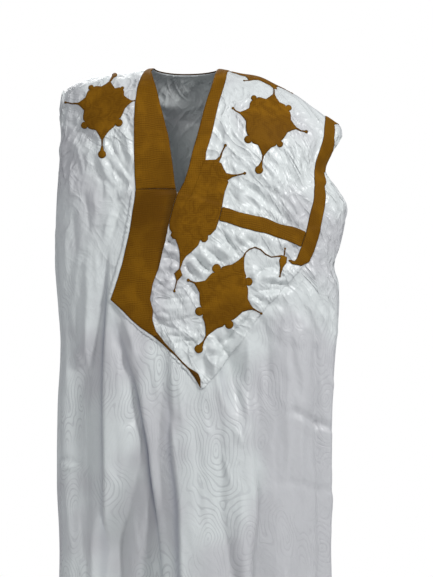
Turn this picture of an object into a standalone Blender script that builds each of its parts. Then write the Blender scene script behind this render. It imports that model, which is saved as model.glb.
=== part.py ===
"""Grand boubou robe, worn: a wide open-sided damask robe with brown embroidered bands and lozenges.

The front faces -Y, +X is the wearer's left and +Z is up. The origin is the middle of the neck
opening, level with the two points where the neck meets the shoulders. Sizes are in metres.

The cloth hangs as one draped form. A place on it is (across, down): `across` is measured along the
cloth from the centre front, and `down` from the shoulder ridge, positive over the front and
negative over the back. The form is worked out at the points of one grid, and every piece is a
flat outline that is cut along that grid's lines and laid on it, so that pieces follow each other.
"""

import math

import bmesh
import bpy
import numpy as np

# ---------------------------------------------------------------- driving dimensions

CLOTH_HALF_WIDTH = 0.40     # from the centre line to each side edge, along the cloth
CLOTH_LENGTH = 1.50         # from the shoulder ridge to the hem, along the cloth
CLOTH_WALL = 0.0020
POCKET_WALL = 0.0012
EMBROIDERY_WALL = 0.0014
SEAM_GAP = 0.0003           # between pieces that are sewn together
ON_PANEL = SEAM_GAP                                # a piece that lies on the panel starts here
ON_POCKET = 2 * SEAM_GAP + POCKET_WALL             # and one that lies on the pocket starts here

COLUMNS = 24                # of the grid, from the centre line to each side edge
ROWS = 24                   # of the grid, from the shoulder ridge to each hem
ROW_EASE = 0.45             # under 1 the rows are closer at the shoulder than at the hem

# Top line of the robe, seen from the front: the ridge where front and back meet.
RIDGE = {
    "x": (-0.2735, -0.2715, -0.2626, -0.2425, -0.2025, -0.1513, -0.0935, -0.040, 0.040,
          0.0957, 0.1268, 0.1824, 0.2136, 0.2603, 0.3093, 0.3315, 0.3449, 0.352),
    "z": (-0.100, -0.070, -0.053, -0.0334, -0.0178, -0.011, -0.0045, 0.0, 0.0,
          -0.0045, -0.0120, -0.0225, -0.0378, -0.0623, -0.1020, -0.120, -0.133, -0.150),
}

# Half widths of the robe, seen from the front, at heights below the neck points.
OUTLINE_RIGHT = {           # the wearer's right
    "z": (-1.50, -1.30, -1.072, -0.917, -0.759, -0.601, -0.443, -0.383, -0.300, -0.200, -0.149,
          -0.116, 0.0),
    "half": (0.298, 0.285, 0.276, 0.2804, 0.278, 0.2715, 0.2826, 0.2826, 0.2804, 0.2737, 0.2715,
             0.2745, 0.2735),
}
OUTLINE_LEFT = {            # the wearer's left, drawn in below the shoulder
    "z": (-1.50, -1.30, -1.072, -0.917, -0.759, -0.645, -0.567, -0.505, -0.474, -0.443, -0.396,
          -0.340, -0.298, -0.269, -0.231, -0.185, -0.150, 0.0),
    "half": (0.345, 0.333, 0.3204, 0.3248, 0.327, 0.3337, 0.3404, 0.3426, 0.3404, 0.3315, 0.3449,
             0.356, 0.356, 0.338, 0.3125, 0.3315, 0.352, 0.352),
}
BODY_HALF = {"right": 0.277, "left": 0.332}        # half widths well inside the side edges
EDGE_POWER = 5              # how near the side edges the outline's own bends keep

# Depths of the hollow robe, in front of and behind the shoulder ridge, at the same heights.
DEPTH = {
    "z": (-1.46, -1.20, -1.00, -0.80, -0.60, -0.45, -0.30, -0.20, -0.10, 0.0),
    "front": (0.176, 0.166, 0.158, 0.152, 0.148, 0.146, 0.144, 0.140, 0.130, 0.124),
    "back": (0.158, 0.146, 0.136, 0.126, 0.118, 0.119, 0.124, 0.122, 0.112, 0.105),
}
SECTION_POWER = 2.6         # over 2 the section is fuller at its corners than an ellipse
SECTION_ASPECT = 0.5        # depth over half width of the section that spaces the cloth

# How far each side edge stands from the ridge's plane, at distances down the cloth: open for the
# arm, and sewn near the hem.
ARM_GAP = {
    "down": (0.0, 0.03, 0.08, 0.16, 0.30, 0.55, 0.80, 0.98, 1.10, 1.24, 1.50),
    "half": (0.0, 0.014, 0.028, 0.038, 0.043, 0.045, 0.038, 0.024, 0.010, 0.0, 0.0),
}
GAP_POWER = 6               # how near the side edges the gap keeps

# The round of the shoulder, from the ridge to where the cloth hangs straight.
SHOULDER = {
    "front": {"height": 0.155, "length": 0.225, "power": 1.75},
    "back": {"height": 0.125, "length": 0.185, "power": 1.85},
}
SIDE_DROOP = 0.35           # share of the ridge's slope that is left at the hem

# Folds, as lines down the cloth. Each starts at a distance down, drifts sideways by the hem, and
# has its own widths towards the wearer's right and left. height is how far the cloth stands out
# there at the hem (in, if under 0), and lean is how far it is laid over sideways.
FOLD_COLUMNS = ("across", "drift", "start", "to_right", "to_left", "height", "lean")
FRONT_FOLDS = (
    (-0.330, 0.000, 0.40, 0.018, 0.018, -0.010, 0.000),
    (-0.284, 0.000, 0.44, 0.020, 0.018, 0.010, 0.000),
    (-0.233, 0.004, 0.56, 0.026, 0.012, -0.028, 0.009),
    (-0.200, 0.010, 0.54, 0.010, 0.044, 0.016, -0.014),
    (-0.150, 0.036, 0.68, 0.028, 0.012, -0.032, 0.009),
    (-0.117, 0.046, 0.66, 0.010, 0.040, 0.016, -0.014),
    (-0.044, 0.020, 0.80, 0.015, 0.016, -0.010, 0.000),
    (0.020, 0.014, 0.90, 0.022, 0.022, 0.009, 0.000),
    (0.075, 0.004, 0.86, 0.018, 0.020, -0.009, 0.000),
    (0.117, -0.004, 0.78, 0.024, 0.012, 0.015, 0.009),
    (0.150, -0.004, 0.80, 0.012, 0.024, -0.020, -0.006),
    (0.215, 0.000, 0.70, 0.030, 0.030, 0.009, 0.000),
    (0.276, 0.000, 0.56, 0.020, 0.020, -0.011, 0.000),
    (0.322, 0.000, 0.48, 0.018, 0.018, 0.010, 0.000),
)
BACK_FOLDS = (
    (-0.330, 0.000, 0.34, 0.018, 0.018, -0.011, 0.000),
    (-0.284, 0.004, 0.30, 0.020, 0.020, 0.014, 0.000),
    (-0.232, 0.006, 0.36, 0.022, 0.014, -0.020, 0.004),
    (-0.180, 0.004, 0.30, 0.018, 0.024, 0.014, -0.004),
    (-0.124, 0.006, 0.42, 0.020, 0.018, -0.018, 0.000),
    (-0.068, 0.006, 0.48, 0.020, 0.020, 0.013, 0.000),
    (-0.012, 0.004, 0.54, 0.016, 0.022, -0.020, -0.004),
    (0.046, 0.002, 0.44, 0.022, 0.018, 0.015, 0.004),
    (0.104, 0.002, 0.38, 0.018, 0.020, -0.019, 0.000),
    (0.164, -0.004, 0.32, 0.022, 0.022, 0.015, 0.000),
    (0.226, -0.006, 0.36, 0.016, 0.022, -0.018, -0.004),
    (0.284, -0.002, 0.30, 0.020, 0.020, 0.013, 0.000),
    (0.334, -0.004, 0.34, 0.016, 0.016, -0.010, 0.000),
)
FOLD_START = 0.26           # distance over which a fold grows from its start
FOLD_TOP_SHARE = 0.55       # of its height at the hem, once it has grown
EDGE_CALM = 10              # how near the side edges the folds die away

WHITE_DAMASK = {"colour": (0.52, 0.55, 0.56, 1.0), "roughness": 0.42, "metallic": 0.0}
BROWN_THREAD = {"colour": (0.155, 0.068, 0.010, 1.0), "roughness": 0.62, "metallic": 0.0}


# ---------------------------------------------------------------- the draped form

def smooth_between(at, places, values):
    """A smooth curve through a table's values, held level past its ends."""
    places, values = np.asarray(places, float), np.asarray(values, float)
    slopes = np.gradient(values, places)
    at = np.clip(at, places[0], places[-1])
    k = np.clip(np.searchsorted(places, at) - 1, 0, len(places) - 2)
    step = places[k + 1] - places[k]
    u = (at - places[k]) / step
    start, end = slopes[k] * step, slopes[k + 1] * step
    rise = values[k + 1] - values[k]
    return values[k] + u * start + u * u * (3 * rise - 2 * start - end) + u**3 * (start + end - 2 * rise)


def eased(u):
    """0 below 0 and 1 above 1, with a smooth rise between."""
    u = np.clip(u, 0, 1)
    return u * u * (3 - 2 * u)


def section_table():
    """For shares of a side's width along the cloth: how far out, and how far forward, the section is."""
    turn = np.linspace(0, math.pi / 2, 2001)
    out, forward = np.sin(turn) ** (2 / SECTION_POWER), np.cos(turn) ** (2 / SECTION_POWER)
    along = np.concatenate([[0], np.cumsum(np.hypot(np.diff(out), SECTION_ASPECT * np.diff(forward)))])
    return along / along[-1], out, forward


SHARES, OUT, FORWARD = section_table()


def drop_at(down, side):
    """How far the cloth has dropped from the ridge, and the share of the full depth it has reached."""
    turn = np.clip(down / side["length"], 0, 1) * math.pi / 2
    drop = side["height"] * (1 - np.cos(turn) ** (2 / side["power"]))
    return drop + np.maximum(0, down - side["length"]), np.sin(turn) ** (2 / side["power"])


def down_for(drop, side):
    """The way back: how far down the cloth this drop is reached."""
    share = np.clip(drop / side["height"], 0, 1)
    turn = np.arccos((1 - share) ** (side["power"] / 2))
    return turn / (math.pi / 2) * side["length"] + np.maximum(0, drop - side["height"])


def sideways_at(out, z, left):
    """How far from the centre line the cloth is, `out` of the way along its section."""
    body = np.where(left, BODY_HALF["left"], BODY_HALF["right"])
    half = np.where(left, smooth_between(z, OUTLINE_LEFT["z"], OUTLINE_LEFT["half"]),
                    smooth_between(z, OUTLINE_RIGHT["z"], OUTLINE_RIGHT["half"]))
    return body * out + (half - body) * out**EDGE_POWER


def ridge_drop(share, left, down):
    """The ridge's own slope, which fades towards the hem."""
    out = np.interp(share, SHARES, OUT)
    x = np.where(left, RIDGE["x"][-1], RIDGE["x"][0]) * out
    fade = 1 - (1 - SIDE_DROOP) * eased(down / CLOTH_LENGTH)
    return smooth_between(x, RIDGE["x"], RIDGE["z"]) * fade


def bare_form(across, down):
    """The form before its folds."""
    front, left, share = down >= 0, across >= 0, np.clip(np.abs(across) / CLOTH_HALF_WIDTH, 0, 1)
    drops = [drop_at(np.abs(down), SHOULDER[name]) for name in ("front", "back")]
    drop, reached = (np.where(front, a, b) for a, b in zip(*drops))
    z = ridge_drop(share, left, np.abs(down)) - drop
    out, forward = np.interp(share, SHARES, OUT), np.interp(share, SHARES, FORWARD)
    depth = np.where(front, smooth_between(z, DEPTH["z"], DEPTH["front"]),
                     smooth_between(z, DEPTH["z"], DEPTH["back"]))
    gap = smooth_between(np.abs(down), ARM_GAP["down"], ARM_GAP["half"])
    gap = np.maximum(SEAM_GAP / 2, gap) * share**GAP_POWER
    x = np.where(left, 1, -1) * sideways_at(out, z, left)
    y = (depth * forward * reached + gap) * np.where(front, -1, 1)
    return np.stack([x, y, z], axis=-1)


def fold_moves(across, down):
    """How far the folds move the cloth out there, and how far sideways."""
    outwards, sideways = np.zeros(np.shape(across)), np.zeros(np.shape(across))
    for folds, on_side in ((FRONT_FOLDS, down > 0), (BACK_FOLDS, down < 0)):
        for row in folds:
            fold = dict(zip(FOLD_COLUMNS, row))
            far = np.abs(down)
            run = np.clip((far - fold["start"]) / (CLOTH_LENGTH - fold["start"]), 0, 1)
            off = across - fold["across"]
            width = np.where(off < 0, fold["to_right"], fold["to_left"])
            shape = np.where(on_side, np.exp(-((off / width) ** 2)), 0)
            grown = eased((far - fold["start"]) / FOLD_START)
            size = grown * (FOLD_TOP_SHARE + (1 - FOLD_TOP_SHARE) * run)
            outwards += fold["height"] * shape * size
            sideways += fold["lean"] * shape * size
    calm = 1 - np.clip(np.abs(across) / CLOTH_HALF_WIDTH, 0, 1) ** EDGE_CALM
    return outwards * calm, (sideways + drift_at(across, down)) * calm


def drift_at(across, down):
    """How far sideways the folds have wandered from straight down."""
    drift = np.zeros(np.shape(across))
    for folds, on_side in ((FRONT_FOLDS, down > 0), (BACK_FOLDS, down < 0)):
        places = [-CLOTH_HALF_WIDTH, *(row[0] for row in folds), CLOTH_HALF_WIDTH]
        by_hem = [0.0, *(row[1] for row in folds), 0.0]
        run = np.clip((np.abs(down) - DRIFT_START) / (CLOTH_LENGTH - DRIFT_START), 0, 1)
        drift += np.where(on_side, smooth_between(across, places, by_hem) * run, 0)
    return drift


DRIFT_START = 0.60


def normal_of(form, across, down):
    """The outward direction of a form at those places."""
    step = 0.002
    inside = np.clip(across, step - CLOTH_HALF_WIDTH, CLOTH_HALF_WIDTH - step)
    sideways = form(inside + step, down) - form(inside - step, down)
    downwards = form(across, down + step) - form(across, down - step)
    normal = np.cross(downwards, sideways)
    return normal / np.linalg.norm(normal, axis=-1, keepdims=True)


def folded_form(across, down):
    """The form with its folds."""
    outwards, sideways = fold_moves(across, down)
    placed = across + sideways
    return bare_form(placed, down) + outwards[..., None] * normal_of(bare_form, placed, down)


# ---------------------------------------------------------------- the grid that every piece follows

def row_to_down(row):
    share = np.abs(row) / ROWS
    return np.sign(row) * CLOTH_LENGTH * (ROW_EASE * share + (1 - ROW_EASE) * share**2)


def down_to_row(down):
    rest = 1 - ROW_EASE
    share = (-ROW_EASE + np.sqrt(ROW_EASE**2 + 4 * rest * np.abs(down) / CLOTH_LENGTH)) / (2 * rest)
    return np.sign(down) * share * ROWS


def across_to_column(across):
    return across / CLOTH_HALF_WIDTH * COLUMNS


def grid_of_form():
    """The form's points and outward directions at whole columns and rows."""
    columns, rows = np.meshgrid(np.arange(-COLUMNS, COLUMNS + 1), np.arange(-ROWS, ROWS + 1),
                                indexing="ij")
    across, down = columns / COLUMNS * CLOTH_HALF_WIDTH, row_to_down(rows)
    points, normals = folded_form(across, down), normal_of(folded_form, across, down)
    normals[[0, -1], :, 1] = 0      # the side edges face each other squarely where they are sewn
    normals /= np.linalg.norm(normals, axis=-1, keepdims=True)
    return points, normals


GRID_POINTS, GRID_NORMALS = grid_of_form()


def on_grid(values, column, row):
    """A value at any place, taken from the corners of the grid's triangle that it lies in."""
    i = int(np.clip(math.floor(column), -COLUMNS, COLUMNS - 1))
    j = int(np.clip(math.floor(row), -ROWS, ROWS - 1))
    u, v = column - i, row - j
    i, j = i + COLUMNS, j + ROWS
    if u + v <= 1:
        corner, other_u, other_v = values[i, j], values[i + 1, j], values[i, j + 1]
        return corner + u * (other_u - corner) + v * (other_v - corner)
    corner, other_u, other_v = values[i + 1, j + 1], values[i, j + 1], values[i + 1, j]
    return corner + (1 - u) * (other_u - corner) + (1 - v) * (other_v - corner)


def cloth_place(x, z, back=False):
    """How far across and down the cloth a point of the robe is, as seen from the front or behind."""
    left, turned = x >= 0, -1 if back else 1
    share = np.interp(abs(x), sideways_at(OUT, z, left), SHARES)
    down = 0.0
    for _ in range(30):
        drop = max(0.0, float(ridge_drop(share, left, down)) - z)
        down = float(down_for(drop, SHOULDER["back" if back else "front"]))
    placed = across = math.copysign(share * CLOTH_HALF_WIDTH, x)
    for _ in range(30):
        across = placed - float(fold_moves(np.float64(across), np.float64(turned * down))[1])
    return across, turned * down


def grid_place(x, z, back=False):
    """The same place as the grid's column and row."""
    across, down = cloth_place(x, z, back)
    return across_to_column(across), float(down_to_row(down))


# ---------------------------------------------------------------- cutting and laying pieces

def cut_flat(outline):
    """The outline as a flat mesh in grid coordinates, cut along the grid's lines and diagonals."""
    flat = bmesh.new()
    flat.faces.new([flat.verts.new((column, row, 0)) for column, row in outline])
    for direction in ((1, 0, 0), (0, 1, 0), (1, 1, 0)):
        reach = [v.co.x * direction[0] + v.co.y * direction[1] for v in flat.verts]
        for line in range(math.ceil(min(reach) + 1e-4), math.floor(max(reach) - 1e-4) + 1):
            middle = [line * d / sum(direction) for d in direction]
            bmesh.ops.bisect_plane(flat, geom=flat.verts[:] + flat.edges[:] + flat.faces[:],
                                   dist=1e-5, plane_co=middle, plane_no=direction)
    bmesh.ops.remove_doubles(flat, verts=flat.verts[:], dist=1e-4)
    bmesh.ops.triangulate(flat, faces=flat.faces[:])
    return flat


def lift_over(outline):
    """For each point of the grid, how far out embroidery starts: on the pocket where it is near."""
    lift = np.full(GRID_POINTS.shape[:2], ON_PANEL)
    pocket = cut_flat(outline)
    for face in pocket.faces:
        middle = face.calc_center_median()
        i, j = math.floor(middle.x) + COLUMNS, math.floor(middle.y) + ROWS
        lift[i:i + 2, j:j + 2] = ON_POCKET
    pocket.free()
    return lift


def lay_piece(name, outline, start, wall, material):
    """Makes the solid of one cut piece. `start` is how far out from the panel's face it begins, for
    each point of the grid."""
    piece = cut_flat(outline)
    made = bmesh.ops.extrude_face_region(piece, geom=piece.faces[:], use_keep_orig=True)
    outer = {v for v in made["geom"] if isinstance(v, bmesh.types.BMVert)}
    for vertex in piece.verts:
        column, row = vertex.co.x, vertex.co.y
        out = on_grid(start, column, row) + (wall if vertex in outer else 0)
        vertex.co = on_grid(GRID_POINTS, column, row) + out * on_grid(GRID_NORMALS, column, row)
    bmesh.ops.recalc_face_normals(piece, faces=piece.faces[:])
    mesh = bpy.data.meshes.new(name)
    piece.to_mesh(mesh)
    piece.free()
    mesh.shade_smooth()
    mesh.set_sharp_from_angle(angle=math.radians(40))
    mesh.materials.append(material)
    made_object = bpy.data.objects.new(name, mesh)
    bpy.context.scene.collection.objects.link(made_object)


def make_material(name, finish):
    material = bpy.data.materials.new(name)
    material.use_nodes = True
    shader = material.node_tree.nodes["Principled BSDF"]
    shader.inputs["Base Color"].default_value = finish["colour"]
    shader.inputs["Roughness"].default_value = finish["roughness"]
    shader.inputs["Metallic"].default_value = finish["metallic"]
    return material


def seen(points):
    """Grid places of points given as (x, z), as the front is seen."""
    return [grid_place(x, z) for x, z in points]


def on_cloth(points):
    """Grid places of points given as (across, down)."""
    return [(across_to_column(across), float(down_to_row(down))) for across, down in points]


# ---------------------------------------------------------------- front and back of the robe

# The neckline as the front is seen: x of its edge on the wearer's right and left, at heights.
NECK_COLUMNS = ("z", "right", "left")
NECKLINE = (
    (-0.012, -0.0720, 0.0710),
    (-0.034, -0.0650, 0.0650),
    (-0.053, -0.0590, 0.0600),
    (-0.091, -0.0500, 0.0480),
    (-0.127, -0.0400, 0.0390),
    (-0.162, -0.0310, 0.0300),
    (-0.197, -0.0260, 0.0200),
    (-0.231, -0.0210, 0.0120),
    (-0.262, -0.0175, 0.0020),
    (-0.277, -0.0150, -0.0060),
)
NECK_POINT = (-0.0120, -0.2860)
NECK_HALF = 0.0745          # across the cloth at the ridge, from the centre to each side of the neck
NAPE_DOWN = 0.046           # how far the neck is cut behind the ridge
NAPE_POINTS = 10
NAPE_POWER = 0.8            # under 1 the nape is squarer than an arc
BAND_COVERS = 0.0010        # how far the neck bands stand past the panel's raw edge


def neckline(side, move=0.0):
    """The neckline's edge on one side, downwards, moved away from the opening."""
    away = -move if side == "right" else move
    rows = [dict(zip(NECK_COLUMNS, row)) for row in NECKLINE]
    return [(row[side] + away, row["z"]) for row in rows]


def nape_curve(grow=0.0):
    """The neck's edge over the back, from the wearer's right to left, or a line outside it."""
    half, down = NECK_HALF + grow, NAPE_DOWN + grow
    turns = [math.pi * k / NAPE_POINTS for k in range(1, NAPE_POINTS)]
    return on_cloth([(-half * math.cos(a), -down * math.sin(a) ** NAPE_POWER) for a in turns])


def front_outline():
    neck, ridge = NECK_HALF + BAND_COVERS, SEAM_GAP / 2
    edge = seen([*neckline("right", BAND_COVERS), NECK_POINT, *neckline("left", BAND_COVERS)[::-1]])
    top = on_cloth([(-CLOTH_HALF_WIDTH, ridge), (-neck, ridge)])
    rest = on_cloth([(neck, ridge), (CLOTH_HALF_WIDTH, ridge),
                     (CLOTH_HALF_WIDTH, CLOTH_LENGTH), (-CLOTH_HALF_WIDTH, CLOTH_LENGTH)])
    return top + edge + rest


def back_outline():
    neck, ridge = NECK_HALF + BAND_COVERS, -SEAM_GAP / 2
    top = on_cloth([(-CLOTH_HALF_WIDTH, ridge), (-neck, ridge)])
    rest = on_cloth([(neck, ridge), (CLOTH_HALF_WIDTH, ridge),
                     (CLOTH_HALF_WIDTH, -CLOTH_LENGTH), (-CLOTH_HALF_WIDTH, -CLOTH_LENGTH)])
    return top + nape_curve(BAND_COVERS) + rest


# ---------------------------------------------------------------- the chest pocket

POCKET = (                  # (x, z) round its edge, from the point of the neckline along its mouth
    (-0.0120, -0.2890), (0.084, -0.3150), (0.157, -0.3340), (0.207, -0.3510), (0.266, -0.3670),
    (0.298, -0.3600), (0.291, -0.3830), (0.280, -0.4130), (0.270, -0.4330),
    (0.227, -0.4810), (0.170, -0.5430), (0.134, -0.5930), (0.084, -0.6610), (0.040, -0.7100),
    (0.008, -0.6680), (-0.040, -0.6170), (-0.088, -0.5850), (-0.127, -0.5490), (-0.163, -0.5150),
    (-0.151, -0.4720), (-0.131, -0.4030), (-0.118, -0.3340), (-0.110, -0.2800),
)

# ---------------------------------------------------------------- bands round the neck

RIGHT_BAND_OUTER = (        # (x, z) down its outer edge: the band widens to the point of the neck
    (-0.0880, -0.012), (-0.0960, -0.033), (-0.1010, -0.053), (-0.1050, -0.091), (-0.1060, -0.127),
    (-0.1055, -0.197), (-0.1040, -0.248), (-0.1020, -0.277),
)
RIGHT_BAND_TOP = 0.0150     # widths at the ridge
LEFT_BAND_TOP = 0.0250
LEFT_BAND_OUTER = (
    (0.0970, -0.011), (0.0930, -0.033), (0.0880, -0.053), (0.0770, -0.090), (0.0690, -0.127),
    (0.0610, -0.162), (0.0500, -0.197), (0.0450, -0.214), (0.0340, -0.248), (0.0180, -0.289),
)


def right_band():
    edge, ridge = seen(RIGHT_BAND_OUTER), SEAM_GAP / 2
    return on_cloth([(-NECK_HALF - RIGHT_BAND_TOP, ridge), (-NECK_HALF, ridge)]) + \
        seen(neckline("right")) + edge[::-1]


def left_band():
    ridge = SEAM_GAP / 2
    inner = [*neckline("left"), NECK_POINT]
    return on_cloth([(NECK_HALF, ridge), (NECK_HALF + LEFT_BAND_TOP, ridge)]) + \
        seen(LEFT_BAND_OUTER) + seen(inner)[::-1]


def nape_band():
    """Round the nape, from one front band's width to the other's."""
    ridge = -SEAM_GAP / 2
    outer = []
    for k in range(1, NAPE_POINTS):
        turn = math.pi * k / NAPE_POINTS
        wide = RIGHT_BAND_TOP + (LEFT_BAND_TOP - RIGHT_BAND_TOP) * k / NAPE_POINTS
        outer.append((-(NECK_HALF + wide) * math.cos(turn),
                      -(NAPE_DOWN + wide) * math.sin(turn) ** NAPE_POWER))
    ends = on_cloth([(NECK_HALF, ridge), (NECK_HALF + LEFT_BAND_TOP, ridge)])
    starts = on_cloth([(-NECK_HALF - RIGHT_BAND_TOP, ridge), (-NECK_HALF, ridge)])
    return starts + nape_curve() + ends + on_cloth(outer)[::-1]


# ---------------------------------------------------------------- the wide band below the neck

PLACKET_RIGHT = (           # (x, z) down the wearer's right edge to the point, and along the tail
    (-0.1020, -0.2773), (-0.1045, -0.300), (-0.1100, -0.335), (-0.1150, -0.369), (-0.1230, -0.403),
    (-0.1310, -0.438), (-0.1410, -0.472), (-0.1510, -0.502), (-0.1555, -0.515), (-0.1440, -0.525),
    (-0.1270, -0.541), (-0.1120, -0.557), (-0.0900, -0.576), (-0.0640, -0.593), (-0.0430, -0.611),
    (-0.0160, -0.636), (0.0110, -0.663), (0.0260, -0.683), (0.0390, -0.706),
)
PLACKET_LEFT = (            # and back up the wearer's left edge, from the leaf at the tail's end
    (0.0380, -0.685), (0.0330, -0.673), (0.0220, -0.666), (0.0135, -0.661), (-0.0135, -0.633),
    (-0.0395, -0.6055), (-0.0580, -0.582), (-0.0650, -0.560), (-0.0640, -0.536), (-0.0700, -0.513),
    (-0.0640, -0.480), (-0.0510, -0.445), (-0.0390, -0.393), (-0.0300, -0.350), (-0.0210, -0.313),
    (-0.0124, -0.2864), (-0.0150, -0.2773),
)

# ---------------------------------------------------------------- bands of the pocket

MOUTH_BAND = (              # (x, z) along its upper edge and back along its lower
    (0.0844, -0.3150), (0.1570, -0.3340), (0.2070, -0.3510), (0.2656, -0.3680),
    (0.2546, -0.4010), (0.2250, -0.3880), (0.1600, -0.3690), (0.1080, -0.3535), (0.0774, -0.3450),
)
SHOULDER_BAND_INNER = (     # (x, z) down its edge towards the neck, to the inside of the hook
    (0.3140, -0.107), (0.3090, -0.137), (0.3050, -0.167), (0.2940, -0.199), (0.2870, -0.225),
    (0.2840, -0.281), (0.2770, -0.320), (0.2660, -0.368), (0.2550, -0.401), (0.2460, -0.425),
    (0.2400, -0.4315), (0.2310, -0.4290),
)
SHOULDER_BAND_OUTER = (     # and up its outer edge, from the tip of the hook
    (0.2270, -0.4310), (0.2360, -0.4390), (0.2550, -0.4420), (0.2730, -0.4330), (0.2820, -0.413),
    (0.2930, -0.381), (0.3040, -0.331), (0.3090, -0.302), (0.3080, -0.269), (0.3080, -0.237),
    (0.3160, -0.215), (0.3280, -0.187), (0.3310, -0.159), (0.3330, -0.128),
)
SHOULDER_BAND_BEHIND = (    # (across, down): it goes over the ridge and ends in a point
    (0.3540, -0.045), (0.3440, -0.075), (0.3320, -0.045),
)

# ---------------------------------------------------------------- lozenges

SIDE_LOBES = (              # along a side, and out from it, both as shares of the side's length
    (0.14, 0.035), (0.26, 0.105), (0.38, 0.135), (0.44, 0.120), (0.43, 0.175),
    (0.465, 0.215), (0.535, 0.215), (0.57, 0.175), (0.56, 0.120), (0.62, 0.135), (0.74, 0.105),
    (0.86, 0.035),
)
CORNER_TAPER = (            # share of the way from the centre to a corner, and half width there
    (0.76, 0.0130), (0.88, 0.0062),
)
STEM = 0.0013               # half width of the thin stems
BEAD_TURNS = (-125, -75, -25, 25, 75, 125)


def along_spike(rows, bead):
    """Both edges of a tapering stem given as (x, z, half width), and the bead at its end."""
    right, left = [], []
    for k, (x, z, half) in enumerate(rows):
        x0, z0, _ = rows[max(k - 1, 0)]
        x1, z1, _ = rows[min(k + 1, len(rows) - 1)]
        size = math.hypot(x1 - x0, z1 - z0)
        across = ((z1 - z0) / size * half, -(x1 - x0) / size * half)
        right.append((x + across[0], z + across[1]))
        left.append((x - across[0], z - across[1]))
    (x0, z0, _), (x1, z1, _) = rows[-2:]
    heading = math.atan2(z1 - z0, x1 - x0)
    centre = (x1 + bead * math.cos(heading), z1 + bead * math.sin(heading))
    turns = [heading + math.radians(t) for t in BEAD_TURNS]
    end = [(centre[0] + bead * math.cos(t), centre[1] + bead * math.sin(t)) for t in turns]
    return right[:-1] + end + left[-2::-1]


def lozenge(centre, spikes):
    """A lozenge with lobed sides. Its spikes go anticlockwise: each is a corner, the rest of its
    stem, and the radius of the bead at its end."""
    outlines = []
    for corner, stem, bead in spikes:
        rows = [(centre[0] + t * (corner[0] - centre[0]), centre[1] + t * (corner[1] - centre[1]), half)
                for t, half in CORNER_TAPER]
        rows += [(*corner, 1.6 * STEM)] + [row if len(row) == 3 else (*row, STEM) for row in stem]
        outlines.append(along_spike(rows, bead))
    whole = []
    for spike, following in zip(outlines, outlines[1:] + outlines[:1]):
        (x0, z0), (x1, z1) = spike[-1], following[0]
        side = [(x0 + t * (x1 - x0) + out * (z1 - z0), z0 + t * (z1 - z0) - out * (x1 - x0))
                for t, out in SIDE_LOBES]
        whole += spike + side
    return whole


SHOULDER_LOZENGE = {        # on the wearer's right shoulder
    "centre": (-0.172, -0.090),
    "spikes": (
        ((-0.117, -0.083), ((-0.1110, -0.083),), 0.0022),
        ((-0.160, -0.030), ((-0.158, -0.020),), 0.0032),
        ((-0.231, -0.086), ((-0.244, -0.085), (-0.258, -0.081)), 0.0022),
        ((-0.175, -0.160), ((-0.175, -0.172), (-0.175, -0.184)), 0.0085),
    ),
}
CHEST_LOZENGE = {           # on the wearer's left chest
    "centre": (0.186, -0.125),
    "spikes": (
        ((0.242, -0.142), ((0.254, -0.147), (0.265, -0.149)), 0.0026),
        ((0.198, -0.066), ((0.198, -0.060), (0.197, -0.054)), 0.0026),
        ((0.126, -0.111), ((0.116, -0.107), (0.110, -0.102)), 0.0026),
        ((0.173, -0.202), ((0.171, -0.210), (0.168, -0.218)), 0.0085),
    ),
}
POCKET_LOZENGE = {          # on the pocket, with a stem that curls towards the hook
    "centre": (0.088, -0.508),
    "spikes": (
        ((0.150, -0.534), ((0.159, -0.539), (0.166, -0.543)), 0.0022),
        ((0.130, -0.423), ((0.135, -0.413), (0.143, -0.406), (0.155, -0.402), (0.167, -0.407),
                           (0.178, -0.417), (0.190, -0.424), (0.203, -0.424), (0.212, -0.427),
                           (0.2165, -0.433, 0.0045), (0.2135, -0.443, 0.0022), (0.2080, -0.456)),
         0.0024),
        ((0.026, -0.479), ((0.020, -0.476), (0.015, -0.474)), 0.0026),
        ((0.051, -0.592), ((0.045, -0.603), (0.039, -0.613)), 0.0088),
    ),
}
BACK_LOZENGE = {            # (across, -down): behind the left shoulder, its edge over the ridge
    "centre": (0.162, 0.006),
    "spikes": (
        ((0.216, -0.006), ((0.226, -0.010),), 0.0026),
        ((0.190, 0.070), ((0.195, 0.080),), 0.0030),
        ((0.106, 0.026), ((0.098, 0.029),), 0.0026),
        ((0.138, -0.058), ((0.130, -0.062),), 0.0026),
    ),
}

# ---------------------------------------------------------------- the motif that hangs from the left band

CENTRE_TOP_STEM = ((0.0740, -0.2160, 0.0045), (0.0810, -0.2070, 0.0022), (0.0845, -0.1960, STEM),
                   (0.0900, -0.1850, STEM))
CENTRE_SIDE_STEM = ((0.0950, -0.2500, 0.0080), (0.1060, -0.2480, 0.0030), (0.1180, -0.2460, STEM),
                    (0.1300, -0.2430, STEM))
CENTRE_LOW_STEM = ((0.0000, -0.4200, 0.0070), (-0.0030, -0.4320, 0.0030), (-0.0065, -0.4480, STEM),
                   (-0.0095, -0.4600, 0.0055), (-0.0130, -0.4740, STEM), (-0.0175, -0.4930, STEM))
CENTRE_RIGHT_SIDE = (       # (x, z) between the top stem and the side stem, clockwise from the top
    (0.0830, -0.2210), (0.0880, -0.2330),
)
CENTRE_LOW_SIDE = (         # from the side stem round to the low stem
    (0.0980, -0.2620), (0.0900, -0.2830), (0.0840, -0.3150), (0.0770, -0.3450), (0.0710, -0.3630),
    (0.0600, -0.3750), (0.0540, -0.3770), (0.0540, -0.3850), (0.0490, -0.3910), (0.0420, -0.3910),
    (0.0380, -0.3860), (0.0330, -0.3980), (0.0200, -0.4110),
)
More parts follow.
